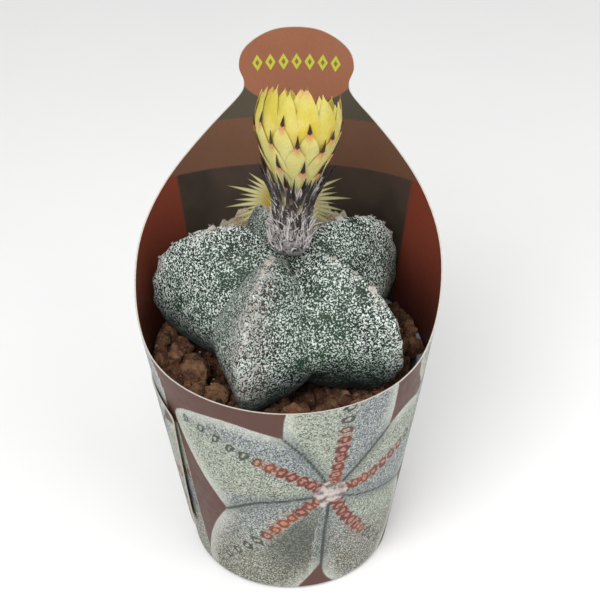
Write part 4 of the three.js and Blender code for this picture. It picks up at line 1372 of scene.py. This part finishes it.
def chipped(base, count, seed, planes=11, roughness=0.14):
    # Balls chipped by random planes: each point is drawn in to the nearest plane, then roughened
    pick = np.random.default_rng(seed)
    normals = pick.normal(size=(count, planes, 3))
    normals /= np.linalg.norm(normals, axis=2, keepdims=True)
    reach = pick.uniform(0.62, 0.98, (count, planes))
    facing = np.einsum("kc,npc->nkp", base, normals)
    radius = np.minimum(1.05, (reach[:, None] / np.maximum(facing, 0.25)).min(2))
    shift = 10 * pick.uniform(size=(count, 1, 3))
    radius = radius * (1 + roughness * lumps(base[None] * 2.2 + shift, 1.0, seed, 3))
    return base[None] * radius[..., None]


def makeClods():
    base, faces = roundBlock(22)
    shapes = chipped(base, len(soilLook["clods"]), 5, 13, 0.16)
    for n, (azimuth, distance, z, along, across, up, red) in enumerate(soilLook["clods"]):
        shape = shapes[n] * np.array([along, across, up]) * 1.06
        turn = np.radians(azimuth + 37 * n)
        c, s = np.cos(turn), np.sin(turn)
        shape = shape @ np.array([[c, s, 0], [-s, c, 0], [0, 0, 1]])
        shape = shape + around(azimuth, distance, z)
        number = twoDigits(n + 1)
        piece = copies("clod" + number, shape[None], faces, clodEarth, 70, red=np.array([red]))
        keep(piece, "soil_clod", "soil_clod_" + number)


def clearOfStem(azimuth, radius, top):
    # True where the stem's underside is higher than a crumb's top, or the crumb lies outside the stem
    alpha = np.linspace(np.pi * 0.52, np.pi, 40)
    reach, under, _ = stemSkin(azimuth[:, None], alpha[None])
    beside = radius > reach.max(1)
    heightThere = np.array([np.interp(r, row[::-1], z[::-1]) for r, row, z in zip(radius, reach, under)])
    return beside | (top < heightThere - 0.3)


def scatter(count, sizes, lift, low=15.0, high=39.0):
    # Places on the soil, evenly over its area, that are clear of the stem
    azimuth = dice.uniform(0, 360, count)
    radius = np.sqrt(dice.uniform(low**2, high**2, count))
    radius = np.minimum(radius, potInside(66.0) - sizes - 0.4)
    z = soilHeight(azimuth, radius) + sizes * lift
    free = clearOfStem(azimuth, radius, z + sizes)
    return azimuth[free], radius[free], z[free], free


def makeLoose(name, finish, slot, side, count, sizeRange, lift, seed, redness=(0, 1)):
    base, faces = roundBlock(side)
    sizes = sizeRange[0] + (sizeRange[1] - sizeRange[0]) * dice.uniform(0, 1, count) ** 2.2
    azimuth, radius, z, free = scatter(count, sizes, lift)
    sizes = sizes[free]
    kinds = chipped(base, 16, seed, 9, 0.2)
    shapes = kinds[dice.integers(0, 16, len(sizes))]
    stretch = dice.uniform(0.75, 1.2, (len(sizes), 1, 3))
    shapes = np.einsum("nkc,ndc->nkd", shapes * stretch * sizes[:, None, None], turns(len(sizes)))
    shapes = shapes + around(azimuth, radius, z)[:, None]
    red = dice.uniform(*redness, len(sizes))
    keep(copies(name, shapes, faces, finish, 55, red=red), slot)


def makeSpill():
    # Lumps that lie on the pot's rim, against the card, where the soil is heaped
    look = soilLook
    count = look["spilled"]
    azimuth = dice.uniform(-118, 125, count)
    size = 0.7 + 2.3 * dice.uniform(0, 1, count) ** 1.6
    radius = np.minimum(dice.uniform(37.5, 43.0, count), 43.1 - size)
    z = potLook["height"] - 0.6 + size * 0.45 - 1.2 * ease(40.5, 37.5, radius)
    free = clearOfStem(azimuth, radius, z + size) & ((azimuth < 66) | (azimuth > 92))
    azimuth, radius, z, size = azimuth[free], radius[free], z[free], size[free]
    base, faces = roundBlock(6)
    shapes = chipped(base, 20, 41, 9, 0.2)[dice.integers(0, 20, len(size))] * size[:, None, None]
    shapes = np.einsum("nkc,ndc->nkd", shapes, turns(len(size))) + around(azimuth, radius, z)[:, None]
    red = dice.uniform(0, 1, len(size))
    keep(copies("spilledLumps", shapes, faces, clodEarth, 55, red=red), "soil_clod")


def makePerlite():
    material, tree, shader = newMaterial("whiteGrit")
    place = objectPlace(tree)
    shown = mix(tree, noise(tree, place, 0.6, 3), tone(204, 196, 184), tone(244, 242, 236))
    dress(tree, shader, {"Base Color": shown, "Normal": height(tree, (noise(tree, place, 0.3, 2), 0.08))},
          Roughness=0.8)
    return material


makeSoil()
makeClods()
makeSpill()
makeLoose("soilLumps", clodEarth, "soil_clod", 6, soilLook["lumps"], (1.4, 3.4), 0.5, 31)
makeLoose("soilCrumbs", earth, "soil", 3, soilLook["crumbs"], (0.35, 1.5), 0.6, 32, (0, 1))
makeLoose("whiteGrains", makePerlite(), "soil", 3, soilLook["grains"], (0.25, 0.75), 1.2, 33)
print("stage: soil")
